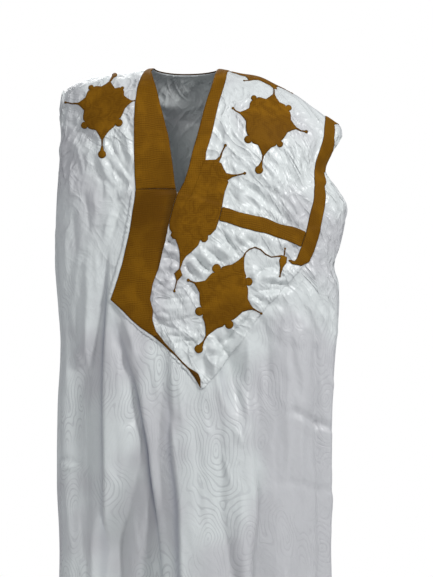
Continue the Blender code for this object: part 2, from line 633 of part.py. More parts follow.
CENTRE_LEFT_SIDE = (        # from the low stem up beside the band below the neck, and the left band
    (-0.0080, -0.4080), (-0.0130, -0.3930), (-0.0160, -0.3850), (-0.0220, -0.3830), (-0.0260, -0.3770),
    (-0.0240, -0.3700), (-0.0290, -0.3620), (-0.0296, -0.3500), (-0.0206, -0.3130),
    (-0.0120, -0.2867), (0.0182, -0.2896), (0.0344, -0.2482), (0.0454, -0.2142),
)


def centre_motif():
    stems = [along_spike(rows, 0.0026)[::-1]
             for rows in (CENTRE_TOP_STEM, CENTRE_SIDE_STEM, CENTRE_LOW_STEM)]
    return [*stems[0], *CENTRE_RIGHT_SIDE, *stems[1], *CENTRE_LOW_SIDE, *stems[2], *CENTRE_LEFT_SIDE]


def shoulder_band():
    return seen([*SHOULDER_BAND_INNER, *SHOULDER_BAND_OUTER]) + on_cloth(SHOULDER_BAND_BEHIND)


def main():
    for thing in list(bpy.data.objects):
        bpy.data.objects.remove(thing)
    damask = make_material("white_damask", WHITE_DAMASK)
    thread = make_material("brown_thread", BROWN_THREAD)
    everywhere = np.ones(GRID_POINTS.shape[:2])
    for name, outline in (("front_panel", front_outline()), ("back_panel", back_outline())):
        lay_piece(name, outline, -CLOTH_WALL * everywhere, CLOTH_WALL, damask)
    pocket = seen(POCKET)
    lay_piece("chest_pocket", pocket, ON_PANEL * everywhere, POCKET_WALL, damask)
    behind = [(across, -up) for across, up in lozenge(**BACK_LOZENGE)]
    embroidery = {
        "neck_band_right": right_band(),
        "neck_band_left": left_band(),
        "neck_band_back": nape_band(),
        "placket_band": seen([*PLACKET_RIGHT, *PLACKET_LEFT]),
        "centre_motif": seen(centre_motif()),
        "pocket_band": seen(MOUTH_BAND),
        "shoulder_band": shoulder_band(),
        "shoulder_motif_right": seen(lozenge(**SHOULDER_LOZENGE)),
        "chest_motif_left": seen(lozenge(**CHEST_LOZENGE)),
        "pocket_motif": seen(lozenge(**POCKET_LOZENGE)),
        "back_motif_left": on_cloth(behind),
    }
    lift = lift_over(pocket)
    for name, outline in embroidery.items():
        lay_piece(name, outline, lift, EMBROIDERY_WALL, thread)


if __name__ == "__main__":
    main()
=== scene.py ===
"""A grand boubou as it is worn: a wide white damask robe with brown embroidered bands and lozenges.

The front faces -Y, +X is the wearer's left and +Z is up, in metres, with the origin in the middle
of the neck opening. A place on the cloth is (across, down): across from the centre front along the
cloth, and down from the shoulder ridge, under 0 behind it.
"""

import math

import bmesh
import bpy
import mathutils
import numpy as np
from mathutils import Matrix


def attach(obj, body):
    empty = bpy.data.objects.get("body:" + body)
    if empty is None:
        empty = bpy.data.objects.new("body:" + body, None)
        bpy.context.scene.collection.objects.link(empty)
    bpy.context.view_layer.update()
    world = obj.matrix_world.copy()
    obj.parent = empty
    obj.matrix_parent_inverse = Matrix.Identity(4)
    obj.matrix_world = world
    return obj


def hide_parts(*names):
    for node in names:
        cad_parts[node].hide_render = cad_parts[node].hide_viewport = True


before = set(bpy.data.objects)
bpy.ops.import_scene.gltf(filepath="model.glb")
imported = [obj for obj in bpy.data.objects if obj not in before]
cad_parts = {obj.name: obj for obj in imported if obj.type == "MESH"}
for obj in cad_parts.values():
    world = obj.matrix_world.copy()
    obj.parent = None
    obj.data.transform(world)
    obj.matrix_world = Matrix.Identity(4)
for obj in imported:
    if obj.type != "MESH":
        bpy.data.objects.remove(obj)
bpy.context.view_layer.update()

# ------------------------------------------------------------------------------------------------
# The robe's front. One length of glazed damask that hangs from the shoulders, open down the sides
# for the arms and sewn to the back below them. It falls in a few laid-over pleats from the pocket.

CLOTH_HALF_WIDTH = 0.40
CLOTH_LENGTH = 1.50
CLOTH_WALL = 0.0012
SEAM_GAP = 0.0003

# The line of the shoulders: its height across the robe.
RIDGE = {
    "x": (-0.2735, -0.2715, -0.2626, -0.2425, -0.2025, -0.1513, -0.0935, -0.040, 0.040,
          0.0957, 0.1268, 0.1824, 0.2136, 0.2603, 0.3093, 0.3315, 0.3449, 0.352),
    "z": (-0.100, -0.070, -0.053, -0.0334, -0.0178, -0.011, -0.0045, 0.0, 0.0,
          -0.0045, -0.0120, -0.0225, -0.0378, -0.0623, -0.1020, -0.120, -0.133, -0.150),
}
# Half widths of the robe at its heights. On the wearer's left it is drawn in below the shoulder.
OUTLINE_RIGHT = {
    "z": (-1.50, -1.30, -1.072, -0.917, -0.759, -0.601, -0.443, -0.383, -0.300, -0.200, -0.149,
          -0.116, 0.0),
    "half": (0.298, 0.285, 0.276, 0.2804, 0.278, 0.2715, 0.2826, 0.2826, 0.2804, 0.2737, 0.2715,
             0.2745, 0.2735),
}
OUTLINE_LEFT = {
    "z": (-1.50, -1.30, -1.072, -0.917, -0.759, -0.645, -0.567, -0.505, -0.474, -0.443, -0.396,
          -0.340, -0.298, -0.269, -0.231, -0.185, -0.150, 0.0),
    "half": (0.345, 0.333, 0.3204, 0.3248, 0.327, 0.3337, 0.3404, 0.3426, 0.3404, 0.3315, 0.3449,
             0.356, 0.356, 0.338, 0.3125, 0.3315, 0.352, 0.352),
}
# Half widths well inside the side edges, and how near those edges the outline's own bends keep.
BODY_HALF = {"right": 0.277, "left": 0.332}
EDGE_POWER = 5
# Depths of the hollow robe in front of and behind the ridge, and the shape of its sections: over
# a power of 2 they are fuller at the corners than an ellipse.
DEPTH = {
    "z": (-1.46, -1.20, -1.00, -0.80, -0.60, -0.45, -0.30, -0.20, -0.10, 0.0),
    "front": (0.176, 0.166, 0.158, 0.152, 0.148, 0.146, 0.144, 0.140, 0.130, 0.124),
    "back": (0.158, 0.146, 0.136, 0.126, 0.118, 0.119, 0.124, 0.122, 0.112, 0.105),
}
SECTION_POWER = 2.6
SECTION_ASPECT = 0.5
# How far each side edge stands from the ridge's plane: open for the arm, sewn near the hem.
ARM_GAP = {
    "down": (0.0, 0.03, 0.08, 0.16, 0.30, 0.55, 0.80, 0.98, 1.10, 1.24, 1.50),
    "half": (0.0, 0.014, 0.028, 0.038, 0.043, 0.045, 0.038, 0.024, 0.010, 0.0, 0.0),
}
GAP_POWER = 6
# The round of the shoulder, from the ridge to where the cloth hangs straight.
SHOULDER = {
    "front": {"height": 0.155, "length": 0.225, "power": 1.75},
    "back": {"height": 0.125, "length": 0.185, "power": 1.85},
}
SIDE_DROOP = 0.35

# Pleats run down the cloth. Each follows its edge, with a row for places from its top to the hem.
# On the side where it goes in, the cloth drops by drop at the edge and slopes on to a hollow, of
# that depth (a swelling, if under 0) and as far off as wide, then comes back over back. rise is
# how far it stands out on the edge's other side, lean how far the edge is laid over, and the last
# column how much painted shade greys the cloth close in under it, for the dark of a hanging fold
# finer than the mesh can close. The slope is straight where even is 1, and steepest at the
# hollow where it is more.
PLEAT_COLUMNS = ("across", "depth", "wide", "back", "drop", "rise", "greyed")
FRONT_PLEATS = (
    {"goes_in": "right", "lean": 0.008, "even": 1.5, "line": (
        # down, then PLEAT_COLUMNS
        (0.490, -0.184, 0.000, 0.010, 0.012, 0.000, 0.000, 0.00),
        (0.560, -0.184, 0.003, 0.012, 0.014, 0.005, 0.003, 0.40),
        (0.620, -0.189, 0.006, 0.020, 0.018, 0.007, 0.004, 0.60),
        (0.684, -0.192, 0.010, 0.034, 0.020, 0.009, 0.005, 0.80),
        (0.790, -0.194, 0.020, 0.064, 0.050, 0.010, 0.007, 0.80),
        (0.860, -0.194, 0.022, 0.070, 0.050, 0.009, 0.008, 0.60),
        (0.920, -0.194, 0.020, 0.068, 0.050, 0.006, 0.009, 0.35),
        (1.050, -0.199, 0.012, 0.050, 0.050, 0.004, 0.009, 0.20),
        (1.110, -0.206, 0.012, 0.050, 0.050, 0.003, 0.008, 0.15),
        (1.180, -0.211, 0.013, 0.050, 0.050, 0.003, 0.007, 0.15),
        (1.500, -0.215, 0.015, 0.050, 0.050, 0.004, 0.006, 0.15),
    )},
    {"goes_in": "right", "lean": 0.009, "even": 1.0, "line": (
        (0.570, -0.178, 0.000, 0.016, 0.014, 0.000, 0.000, 0.00),
        (0.643, -0.156, 0.003, 0.017, 0.014, 0.002, 0.004, 0.10),
        (0.700, -0.133, 0.004, 0.018, 0.014, 0.003, 0.005, 0.20),
        (0.765, -0.111, 0.005, 0.020, 0.016, 0.005, 0.005, 0.35),
        (0.820, -0.096, 0.007, 0.022, 0.018, 0.008, 0.005, 0.60),
        (0.884, -0.082, 0.007, 0.018, 0.026, 0.012, 0.005, 0.90),
        (0.970, -0.071, 0.027, 0.050, 0.034, 0.014, 0.005, 1.00),
        (1.035, -0.061, 0.050, 0.084, 0.036, 0.014, 0.005, 0.80),
        (1.110, -0.050, 0.082, 0.130, 0.034, 0.011, 0.004, 0.44),
        (1.180, -0.042, 0.088, 0.142, 0.034, 0.010, 0.004, 0.38),
        (1.500, -0.018, 0.084, 0.152, 0.034, 0.010, 0.006, 0.25),
    )},
    {"goes_in": "right", "lean": 0.000, "even": 1.2, "line": (
        (0.640, -0.030, 0.000, 0.014, 0.030, 0.000, 0.000, 0.00),
        (0.700, -0.030, 0.003, 0.014, 0.030, 0.002, 0.002, 0.00),
        (0.800, -0.030, 0.008, 0.022, 0.030, 0.003, 0.003, 0.10),
        (0.905, -0.027, 0.017, 0.034, 0.030, 0.003, 0.005, 0.30),
        (1.010, -0.012, 0.026, 0.042, 0.034, 0.003, 0.005, 0.45),
        (1.110, -0.008, 0.044, 0.052, 0.044, 0.003, 0.005, 0.45),
        (1.500, 0.002, 0.042, 0.054, 0.060, 0.004, 0.006, 0.20),
    )},
    {"goes_in": "right", "lean": 0.000, "even": 1.0, "line": (
        (0.600, 0.212, 0.000, 0.040, 0.030, 0.000, 0.000, 0.00),
        (0.680, 0.214, 0.013, 0.046, 0.030, 0.001, 0.003, 0.00),
        (0.800, 0.214, 0.016, 0.052, 0.030, 0.001, 0.003, 0.00),
        (0.920, 0.214, 0.010, 0.056, 0.030, 0.000, 0.002, 0.00),
        (1.040, 0.214, 0.000, 0.054, 0.030, 0.000, 0.000, 0.00),
    )},
    {"goes_in": "left", "lean": 0.000, "even": 1.0, "line": (
        (0.655, 0.066, 0.000, 0.024, 0.040, 0.000, 0.000, 0.00),
        (0.700, 0.070, 0.018, 0.024, 0.040, 0.004, 0.008, 0.10),
        (0.750, 0.075, 0.025, 0.028, 0.040, 0.005, 0.010, 0.16),
        (0.790, 0.085, 0.014, 0.026, 0.040, 0.003, 0.008, 0.10),
        (0.825, 0.100, 0.003, 0.018, 0.030, 0.001, 0.003, 0.00),
        (0.860, 0.110, 0.000, 0.014, 0.020, 0.000, 0.000, 0.00),
    )},
    {"goes_in": "left", "lean": 0.006, "even": 0.9, "line": (
        (0.800, 0.142, 0.000, 0.040, 0.020, 0.000, 0.000, 0.00),
        (0.860, 0.142, -0.004, 0.040, 0.020, 0.005, 0.003, 0.00),
        (0.963, 0.145, -0.012, 0.046, 0.024, 0.011, 0.005, 0.00),
        (1.050, 0.147, -0.019, 0.050, 0.028, 0.016, 0.007, 0.00),
        (1.110, 0.138, -0.023, 0.054, 0.030, 0.019, 0.009, 0.00),
        (1.180, 0.134, -0.024, 0.056, 0.032, 0.020, 0.010, 0.00),
        (1.500, 0.114, -0.025, 0.058, 0.034, 0.021, 0.012, 0.00),
    )},
)
PLEAT_EDGE = 0.0038         # how far the drop takes
PLEAT_CREST = 0.034         # how far the crest takes to die away
PLEAT_LEAN_REACH = 0.008
FULL_LEAN_DROP = 0.010      # the drop at which an edge is laid over fully
# Painted shade in under each pleat's edge: where it is darkest, and how far in it reaches.
PLEAT_SHADE_AT = 0.004           # how far in under the edge the cloth is greyest
PLEAT_SHADE_WIDE = 0.012
# Soft folds between the pleats. height is how far one stands out (in, if under 0).
FRONT_FOLDS = (
    # (down, across, height, wide) from the top
    ((0.30, -0.356, 0.000, 0.013), (0.55, -0.356, -0.004, 0.013), (1.50, -0.356, -0.006, 0.014)),
    ((0.54, -0.310, 0.000, 0.015), (0.74, -0.292, -0.005, 0.015), (1.00, -0.287, -0.003, 0.015),
     (1.50, -0.284, -0.005, 0.016)),
    ((0.45, -0.240, 0.000, 0.014), (0.60, -0.240, 0.008, 0.014), (0.72, -0.244, 0.006, 0.014),
     (0.83, -0.250, 0.000, 0.014), (1.50, -0.251, 0.000, 0.016)),
    ((0.74, 0.004, 0.000, 0.018), (0.84, 0.006, 0.003, 0.018), (1.02, 0.016, 0.003, 0.018),
     (1.18, 0.024, 0.004, 0.018), (1.50, 0.030, 0.006, 0.020)),
    ((0.66, 0.036, 0.000, 0.014), (0.78, 0.044, 0.002, 0.016), (0.98, 0.050, 0.003, 0.016),
     (1.50, 0.064, 0.006, 0.018)),
    ((0.72, 0.058, 0.000, 0.012), (0.84, 0.072, -0.007, 0.012), (0.97, 0.078, -0.010, 0.012),
     (1.05, 0.080, -0.008, 0.012), (1.14, 0.096, -0.011, 0.012), (1.50, 0.130, -0.011, 0.013)),
    ((0.96, 0.112, 0.000, 0.013), (1.04, 0.118, 0.006, 0.013), (1.10, 0.122, 0.007, 0.012),
     (1.50, 0.128, 0.006, 0.012)),
    ((0.62, 0.142, 0.000, 0.013), (0.70, 0.140, 0.005, 0.013), (0.90, 0.136, 0.006, 0.013),
     (1.00, 0.134, 0.003, 0.013), (1.10, 0.134, 0.000, 0.013)),
    ((0.55, 0.240, 0.000, 0.014), (0.62, 0.246, 0.007, 0.014), (0.75, 0.252, 0.008, 0.014),
     (0.88, 0.250, 0.003, 0.014), (1.00, 0.250, 0.000, 0.014)),
    ((0.50, 0.280, 0.000, 0.012), (0.62, 0.288, -0.009, 0.012), (0.78, 0.297, -0.010, 0.012),
     (0.91, 0.305, -0.008, 0.012), (1.50, 0.305, -0.010, 0.013)),
    ((0.45, 0.340, 0.000, 0.014), (0.60, 0.340, 0.007, 0.014), (1.50, 0.345, 0.010, 0.015)),
    ((1.04, 0.210, 0.000, 0.018), (1.20, 0.212, 0.008, 0.018), (1.50, 0.216, 0.012, 0.020)),
    ((1.04, 0.256, 0.000, 0.014), (1.20, 0.258, -0.009, 0.014), (1.50, 0.262, -0.012, 0.016)),
)
# The back's folds start at a distance down, drift sideways by the hem, and have their own widths
# towards the wearer's right and left.
BACK_COLUMNS = ("across", "drift", "start", "to_right", "to_left", "height", "lean")
BACK_FOLDS = (
    (-0.356, 0.000, 0.30, 0.012, 0.014, 0.006, 0.000),
    (-0.330, 0.000, 0.34, 0.016, 0.016, -0.011, 0.000),
    (-0.284, 0.004, 0.30, 0.020, 0.020, 0.014, 0.000),
    (-0.232, 0.006, 0.36, 0.022, 0.010, -0.020, 0.006),
    (-0.206, 0.006, 0.40, 0.008, 0.020, 0.010, -0.008),
    (-0.170, 0.004, 0.30, 0.018, 0.024, 0.010, 0.000),
    (-0.124, 0.006, 0.42, 0.020, 0.014, -0.018, 0.000),
    (-0.088, 0.006, 0.56, 0.010, 0.014, 0.006, 0.000),
    (-0.060, 0.006, 0.48, 0.016, 0.020, 0.012, 0.000),
    (-0.012, 0.004, 0.54, 0.012, 0.022, -0.020, -0.006),
    (0.018, 0.002, 0.60, 0.014, 0.012, 0.006, 0.000),
    (0.050, 0.002, 0.44, 0.018, 0.014, 0.013, 0.004),
    (0.104, 0.002, 0.38, 0.014, 0.020, -0.019, 0.000),
    (0.138, 0.000, 0.50, 0.012, 0.012, 0.006, 0.000),
    (0.172, -0.004, 0.32, 0.018, 0.022, 0.013, 0.000),
    (0.226, -0.006, 0.36, 0.012, 0.022, -0.018, -0.006),
    (0.252, -0.004, 0.46, 0.014, 0.012, 0.007, 0.000),
    (0.288, -0.002, 0.30, 0.018, 0.020, 0.012, 0.000),
    (0.334, -0.004, 0.34, 0.014, 0.014, -0.009, 0.000),
    (0.360, 0.000, 0.34, 0.012, 0.012, 0.006, 0.000),
)
FOLD_START = 0.26           # distance over which a fold grows from its start
FOLD_TOP_SHARE = 0.55       # of its height at the hem, once it has grown
EDGE_CALM = 10              # how near the side edges the folds die away
DRIFT_START = 0.60


def smooth_between(at, places, values):
    """A smooth curve through a table's values, held level past its ends."""
    places, values = np.asarray(places, float), np.asarray(values, float)
    slopes = np.gradient(values, places)
    at = np.clip(at, places[0], places[-1])
    k = np.clip(np.searchsorted(places, at) - 1, 0, len(places) - 2)
    step = places[k + 1] - places[k]
    u = (at - places[k]) / step
    start, end = slopes[k] * step, slopes[k + 1] * step
    rise = values[k + 1] - values[k]
    return values[k] + u * start + u * u * (3 * rise - 2 * start - end) + u**3 * (start + end - 2 * rise)


def eased(u):
    """0 below 0 and 1 above 1, with a smooth rise between."""
    u = np.clip(u, 0, 1)
    return u * u * (3 - 2 * u)


# The section's places at even turns, and each one's share of the way round it.
quarter = np.linspace(0, math.pi / 2, 2001)
OUT, FORWARD = np.sin(quarter) ** (2 / SECTION_POWER), np.cos(quarter) ** (2 / SECTION_POWER)
SHARES = np.concatenate([[0], np.cumsum(np.hypot(np.diff(OUT), SECTION_ASPECT * np.diff(FORWARD)))])
SHARES = SHARES / SHARES[-1]


def drop_at(down, side):
    """How far the cloth has dropped from the ridge, and its share of the full depth."""
    turned = np.clip(down / side["length"], 0, 1) * math.pi / 2
    drop = side["height"] * (1 - np.cos(turned) ** (2 / side["power"]))
    return drop + np.maximum(0, down - side["length"]), np.sin(turned) ** (2 / side["power"])


def sideways_at(out, z, left):
    """How far from the centre line the cloth is, `out` of the way along its section."""
    body = np.where(left, BODY_HALF["left"], BODY_HALF["right"])
    half = np.where(left, smooth_between(z, OUTLINE_LEFT["z"], OUTLINE_LEFT["half"]),
                    smooth_between(z, OUTLINE_RIGHT["z"], OUTLINE_RIGHT["half"]))
    return body * out + (half - body) * out**EDGE_POWER


def ridge_drop(share, left, down):
    """The shoulder line's own slope, which fades towards the hem."""
    x = np.where(left, RIDGE["x"][-1], RIDGE["x"][0]) * np.interp(share, SHARES, OUT)
    fade = 1 - (1 - SIDE_DROOP) * eased(down / CLOTH_LENGTH)
    return smooth_between(x, RIDGE["x"], RIDGE["z"]) * fade


def bare_form(across, down):
    """The robe's form before its folds."""
    front, left, share = down >= 0, across >= 0, np.clip(np.abs(across) / CLOTH_HALF_WIDTH, 0, 1)
    drops = [drop_at(np.abs(down), SHOULDER[name]) for name in ("front", "back")]
    drop, reached = (np.where(front, a, b) for a, b in zip(*drops))
    z = ridge_drop(share, left, np.abs(down)) - drop
    out, forward = np.interp(share, SHARES, OUT), np.interp(share, SHARES, FORWARD)
    depth = np.where(front, smooth_between(z, DEPTH["z"], DEPTH["front"]),
                     smooth_between(z, DEPTH["z"], DEPTH["back"]))
    gap = smooth_between(np.abs(down), ARM_GAP["down"], ARM_GAP["half"])
    gap = np.maximum(SEAM_GAP / 2, gap) * share**GAP_POWER
    x = np.where(left, 1, -1) * sideways_at(out, z, left)
    y = (depth * forward * reached + gap) * np.where(front, -1, 1)
    return np.stack([x, y, z], axis=-1)


def pleat_at(pleat, across, down):
    """A pleat's columns at those places, the side it goes in on, and how far past its edge they are."""
    places, *columns = zip(*pleat["line"])
    at = {name: smooth_between(down, places, column) for name, column in zip(PLEAT_COLUMNS, columns)}
    side = 1 if pleat["goes_in"] == "right" else -1
    return at, side, (across - at["across"]) * side


def pleat_moves(pleat, across, down):
    """How far one pleat moves the cloth out there, and how far sideways."""
    at, side, off = pleat_at(pleat, across, down)
    inward, beyond = np.maximum(-off, 0), np.maximum(-off - at["wide"], 0)
    slope = np.clip(inward / at["wide"], 0, 1) ** pleat["even"]
    hollow = at["drop"] * np.tanh(inward / PLEAT_EDGE) + at["depth"] * slope
    hollow *= np.exp(-((beyond / at["back"]) ** 2))
    crest = at["rise"] * np.exp(-np.maximum(off, 0) / PLEAT_CREST) * np.tanh(np.abs(off) / PLEAT_EDGE)
    lean = pleat["lean"] * np.minimum(1, at["drop"] / FULL_LEAN_DROP)
    lean = lean * np.exp(-((off / PLEAT_LEAN_REACH) ** 2))
    return np.where(off < 0, -hollow, crest), -side * lean


def pleat_shade_share(across, down):
    """How much painted shade greys the cloth in under a pleat's edge, from 0 to 1."""
    most = np.zeros(np.shape(across))
    for pleat in FRONT_PLEATS:
        at, _, off = pleat_at(pleat, across, down)
        under = np.exp(-(((off + PLEAT_SHADE_AT) / np.where(off < -PLEAT_SHADE_AT, PLEAT_SHADE_WIDE, PLEAT_SHADE_AT)) ** 2))
        most = np.maximum(most, at["greyed"] * under)
    return most


def fold_moves(across, down):
    """How far the folds move the cloth out there, and how far sideways."""
    outwards, sideways = np.zeros(np.shape(across)), np.zeros(np.shape(across))
    for pleat in FRONT_PLEATS:
        out, aside = pleat_moves(pleat, across, down)
        outwards += out
        sideways += aside
    for fold in FRONT_FOLDS:
        places, *columns = zip(*fold)
        line, height, wide = (smooth_between(down, places, column) for column in columns)
        outwards += height * np.exp(-(((across - line) / wide) ** 2))
    outwards, sideways = (np.where(down > 0, moves, 0) for moves in (outwards, sideways))
    far = np.maximum(-down, 0)
    wander = np.clip((far - DRIFT_START) / (CLOTH_LENGTH - DRIFT_START), 0, 1)
    for row in BACK_FOLDS:
        fold = dict(zip(BACK_COLUMNS, row))
        run = np.clip((far - fold["start"]) / (CLOTH_LENGTH - fold["start"]), 0, 1)
        off = across - fold["across"] - fold["drift"] * wander
        shape = np.exp(-((off / np.where(off < 0, fold["to_right"], fold["to_left"])) ** 2))
        size = eased((far - fold["start"]) / FOLD_START) * (FOLD_TOP_SHARE + (1 - FOLD_TOP_SHARE) * run)
        outwards += fold["height"] * shape * size
        sideways += fold["lean"] * shape * size
    calm = 1 - np.clip(np.abs(across) / CLOTH_HALF_WIDTH, 0, 1) ** EDGE_CALM
    return outwards * calm, sideways * calm


def normal_of(form, across, down):
    """The outward direction of a form at those places."""
    step = 0.002
    within = np.clip(across, step - CLOTH_HALF_WIDTH, CLOTH_HALF_WIDTH - step)
    sideways = form(within + step, down) - form(within - step, down)
    downwards = form(across, down + step) - form(across, down - step)
    normal = np.cross(downwards, sideways)
    return normal / np.linalg.norm(normal, axis=-1, keepdims=True)


ROUNDS = 30                 # of each search for a place


def seen(points):
    """Places on the cloth of points given as (x, z), as the front is seen."""
    x, z = np.array([row[:2] for row in points], float).T
    left, side = x >= 0, SHOULDER["front"]
    low, high = np.zeros(len(x)), np.ones(len(x))
    for _ in range(ROUNDS):
        share = (low + high) / 2
        beyond = sideways_at(np.interp(share, SHARES, OUT), z, left) > np.abs(x)
        low, high = np.where(beyond, low, share), np.where(beyond, share, high)
    down = np.zeros(len(x))
    for _ in range(ROUNDS):
        drop = np.maximum(0, ridge_drop(share, left, down) - z)
        turned = np.arccos((1 - np.clip(drop / side["height"], 0, 1)) ** (side["power"] / 2))
        down = turned / (math.pi / 2) * side["length"] + np.maximum(0, drop - side["height"])
    placed = across = np.copysign(share * CLOTH_HALF_WIDTH, x)
    for _ in range(ROUNDS):
        across = placed - fold_moves(across, down)[1]
    return np.stack([across, down], axis=-1)


NOISE_CELLS = 64


def soft_noise(u, v, size_u, size_v, seed):
    """Soft unevenness from -1 to 1, in patches of about that size."""
    table = np.random.default_rng(seed).uniform(-1, 1, (NOISE_CELLS, NOISE_CELLS))
    u, v = u / size_u, v / size_v
    i, j = np.floor(u).astype(int), np.floor(v).astype(int)
    a, b = eased(u - i), eased(v - j)
    corner = [[table[(i + p) % NOISE_CELLS, (j + q) % NOISE_CELLS] for q in (0, 1)] for p in (0, 1)]
    return ((corner[0][0] * (1 - a) + corner[1][0] * a) * (1 - b)
            + (corner[0][1] * (1 - a) + corner[1][1] * a) * b)


def spaced(spans):
    """Lines from a start on, each span after it given as its end and its number of cells."""
    at, lines = spans[0][0], [spans[0][0]]
    for end, steps in spans[1:]:
        lines += [at + (end - at) * k / steps for k in range(1, steps + 1)]
        at = end
    return np.array(lines)


def flat_sheet(lines_across, lines_down):
    """A flat sheet in (across, down), cut along these lines."""
    flat = bmesh.new()
    bmesh.ops.create_grid(flat, x_segments=len(lines_across) - 1, y_segments=len(lines_down) - 1,
                          size=1)
    for vertex in flat.verts:
        k = (vertex.co.x + 1) / 2 * (len(lines_across) - 1)
        j = (vertex.co.y + 1) / 2 * (len(lines_down) - 1)
        vertex.co = (lines_across[round(k)], lines_down[round(j)], 0)
    return flat


TINY = 1e-14
PAIRS_AT_ONCE = 4000000


def inside(points, outline):
    """Whether each point is within a closed outline."""
    x, y = points[:, 0][:, None], points[:, 1][:, None]
    x0, y0 = outline.T
    x1, y1 = np.roll(outline, -1, axis=0).T
    crosses = (y0 > y) != (y1 > y)
    at = x0 + (y - y0) / np.where(y1 == y0, TINY, y1 - y0) * (x1 - x0)
    return (np.sum(crosses & (x < at), axis=1) % 2) == 1


def nearest_on(points, outline):
    """For each point: how far the outline is, the nearest point on it, and how far along that is."""
    starts, ends = outline, np.roll(outline, -1, axis=0)
    run = ends - starts
    length = np.hypot(*run.T)
    before = np.concatenate([[0], np.cumsum(length)[:-1]])
    distance, nearest, along = [], [], []
    for part in np.array_split(points, max(1, len(points) * len(outline) // PAIRS_AT_ONCE)):
        offset = part[:, None, :] - starts[None]
        share = np.clip((offset * run).sum(-1) / np.maximum(length**2, TINY), 0, 1)
        found = starts[None] + share[..., None] * run[None]
        far = np.hypot(*np.moveaxis(part[:, None, :] - found, -1, 0))
        k, rows = far.argmin(axis=1), np.arange(len(part))
        distance.append(far[rows, k])
        nearest.append(found[rows, k])
        along.append(before[k] + share[rows, k] * length[k])
    return np.concatenate(distance), np.concatenate(nearest), np.concatenate(along)


EDGE_PULL = 0.0045          # how far a cell's corner may be brought to the edge


def cut_out(flat, outline):
    """Cuts a hole in a flat sheet and brings the cells' corners to its edge."""
    middles = np.array([face.calc_center_median()[:2] for face in flat.faces])
    gone = [face for face, out in zip(flat.faces, inside(middles, outline)) if out]
    bmesh.ops.delete(flat, geom=gone, context="FACES")
    edge = [v for v in flat.verts if v.is_boundary and abs(v.co.y) > SEAM_GAP]
    places = np.array([v.co[:2] for v in edge])
    distance, nearest, _ = nearest_on(places, outline)
    for vertex, far, place in zip(edge, distance, nearest):
        if far < EDGE_PULL:
            vertex.co = (*place, 0)


def added(tree, kind, values, **settings):
    """A new node's first output, once its sockets and settings are set."""
    made = tree.nodes.new("ShaderNode" + kind)
    for name, value in settings.items():
        setattr(made, name, value)
    for socket, value in dict(values).items():
        if isinstance(value, bpy.types.NodeSocket):
            tree.links.new(value, made.inputs[socket])
        else:
            made.inputs[socket].default_value = value
    return made.outputs[0]


def sums(tree, operation, *values):
    """The result of a sum, each value a number or a socket."""
    return added(tree, "Math", enumerate(values), operation=operation)


def moved(tree, operation, place, by):
    """A place or direction added to, or multiplied by, another."""
    return added(tree, "VectorMath", {0: place, 1: by}, operation=operation)


def mixed(tree, share, first, second):
    """A colour between two, by share."""
    made = tree.nodes.new("ShaderNodeMix")
    made.data_type = "RGBA"
    for socket, value in (("Factor_Float", share), ("A_Color", first), ("B_Color", second)):
        found = next(s for s in made.inputs if s.identifier == socket)
        if isinstance(value, bpy.types.NodeSocket):
            tree.links.new(value, found)
        else:
            found.default_value = value
    return next(s for s in made.outputs if s.identifier == "Result_Color")


def soft_step(tree, value, low, high, at_low=0.0, at_high=1.0):
    """at_low under low and at_high over high, with a smooth change between."""
    return added(tree, "MapRange", {"Value": value, "From Min": low, "From Max": high,
                                    "To Min": at_low, "To Max": at_high},
                 interpolation_type="SMOOTHSTEP")


def new_material(name):
    """A material, its tree and shader, a place on the cloth in metres, and its across and down."""
    material = bpy.data.materials.new(name)
    material.use_nodes = True
    tree = material.node_tree
    place = added(tree, "UVMap", {}, uv_map="cloth")
    apart = added(tree, "SeparateXYZ", {0: place}).node
    return material, tree, tree.nodes["Principled BSDF"], place, *apart.outputs[:2]


def patches(tree, place, per_metre, detail=1.0, stretch=(1, 1, 1), roughness=0.5):
    """Soft noise over the cloth, from 0 to 1."""
    spread = moved(tree, "MULTIPLY", place, stretch)
    return added(tree, "TexNoise", {"Vector": spread, "Scale": per_metre, "Detail": detail,
                                    "Roughness": roughness}, noise_dimensions="2D")


WHITE = (0.650, 0.686, 0.676, 1)
WOVEN_WHITE = (0.545, 0.572, 0.572, 1)
# Grey for random patches of soil, and for painted shade low on the wearer's left.
SOIL_AND_SHADE_WHITE = (0.488, 0.480, 0.500, 1)
# Painted shade in under the pleats' edges.
PLEAT_SHADE_GREY = (0.150, 0.165, 0.230, 1)
# How strongly that soil and painted shade grey the cloth.
SOIL_AND_SHADE_STRENGTH = 0.64
# Low on the wearer's left painted shade greys the cloth, over its random patches of soil.
LOW_LEFT_SHADE = 0.60
LOW_LEFT_ACROSS = (0.07, 0.32)
LOW_LEFT_DOWN = (0.46, 0.80)
PLAIN_ROUGHNESS = 0.36
WOVEN_ROUGHNESS = 0.48
CRUMPLED_CHANGE = -0.05     # of the roughness, where the cloth is crumpled
# The weave shows ovals one inside the other, like the grain of wood, faint above the pleats.
OVAL_WIDE = 0.068
OVAL_TALL = 0.150
OVAL_LINES = 11.0
OVAL_WARP = (0.80, 0.50, 0)
OVALS_ABOVE = 0.22
OVALS_FROM = (0.40, 0.66)
# Over the chest, shoulders and upper back the cloth is crumpled in small hard facets.
CRUMPLES = (
    # turn, patches a metre, length of a patch to its width, height
    (0.75, 34, 3.5, 0.0024),
    (-0.30, 52, 3.0, 0.0012),
)
CRUMPLE_WARP = (0.05, 0.05, 0)
CRUMPLED_FRONT = (0.42, 0.66)
CRUMPLED_BACK = (-0.66, -0.08)
RIDGE_CRUMPLE = 0.15
RIDGE_REACH = 0.09
# Under the wearer's right shoulder the cloth hangs smoother.
SMOOTHER = 0.6
SMOOTHER_ACROSS = (-0.15, -0.08)
SMOOTHER_DOWN = (0.22, 0.36)


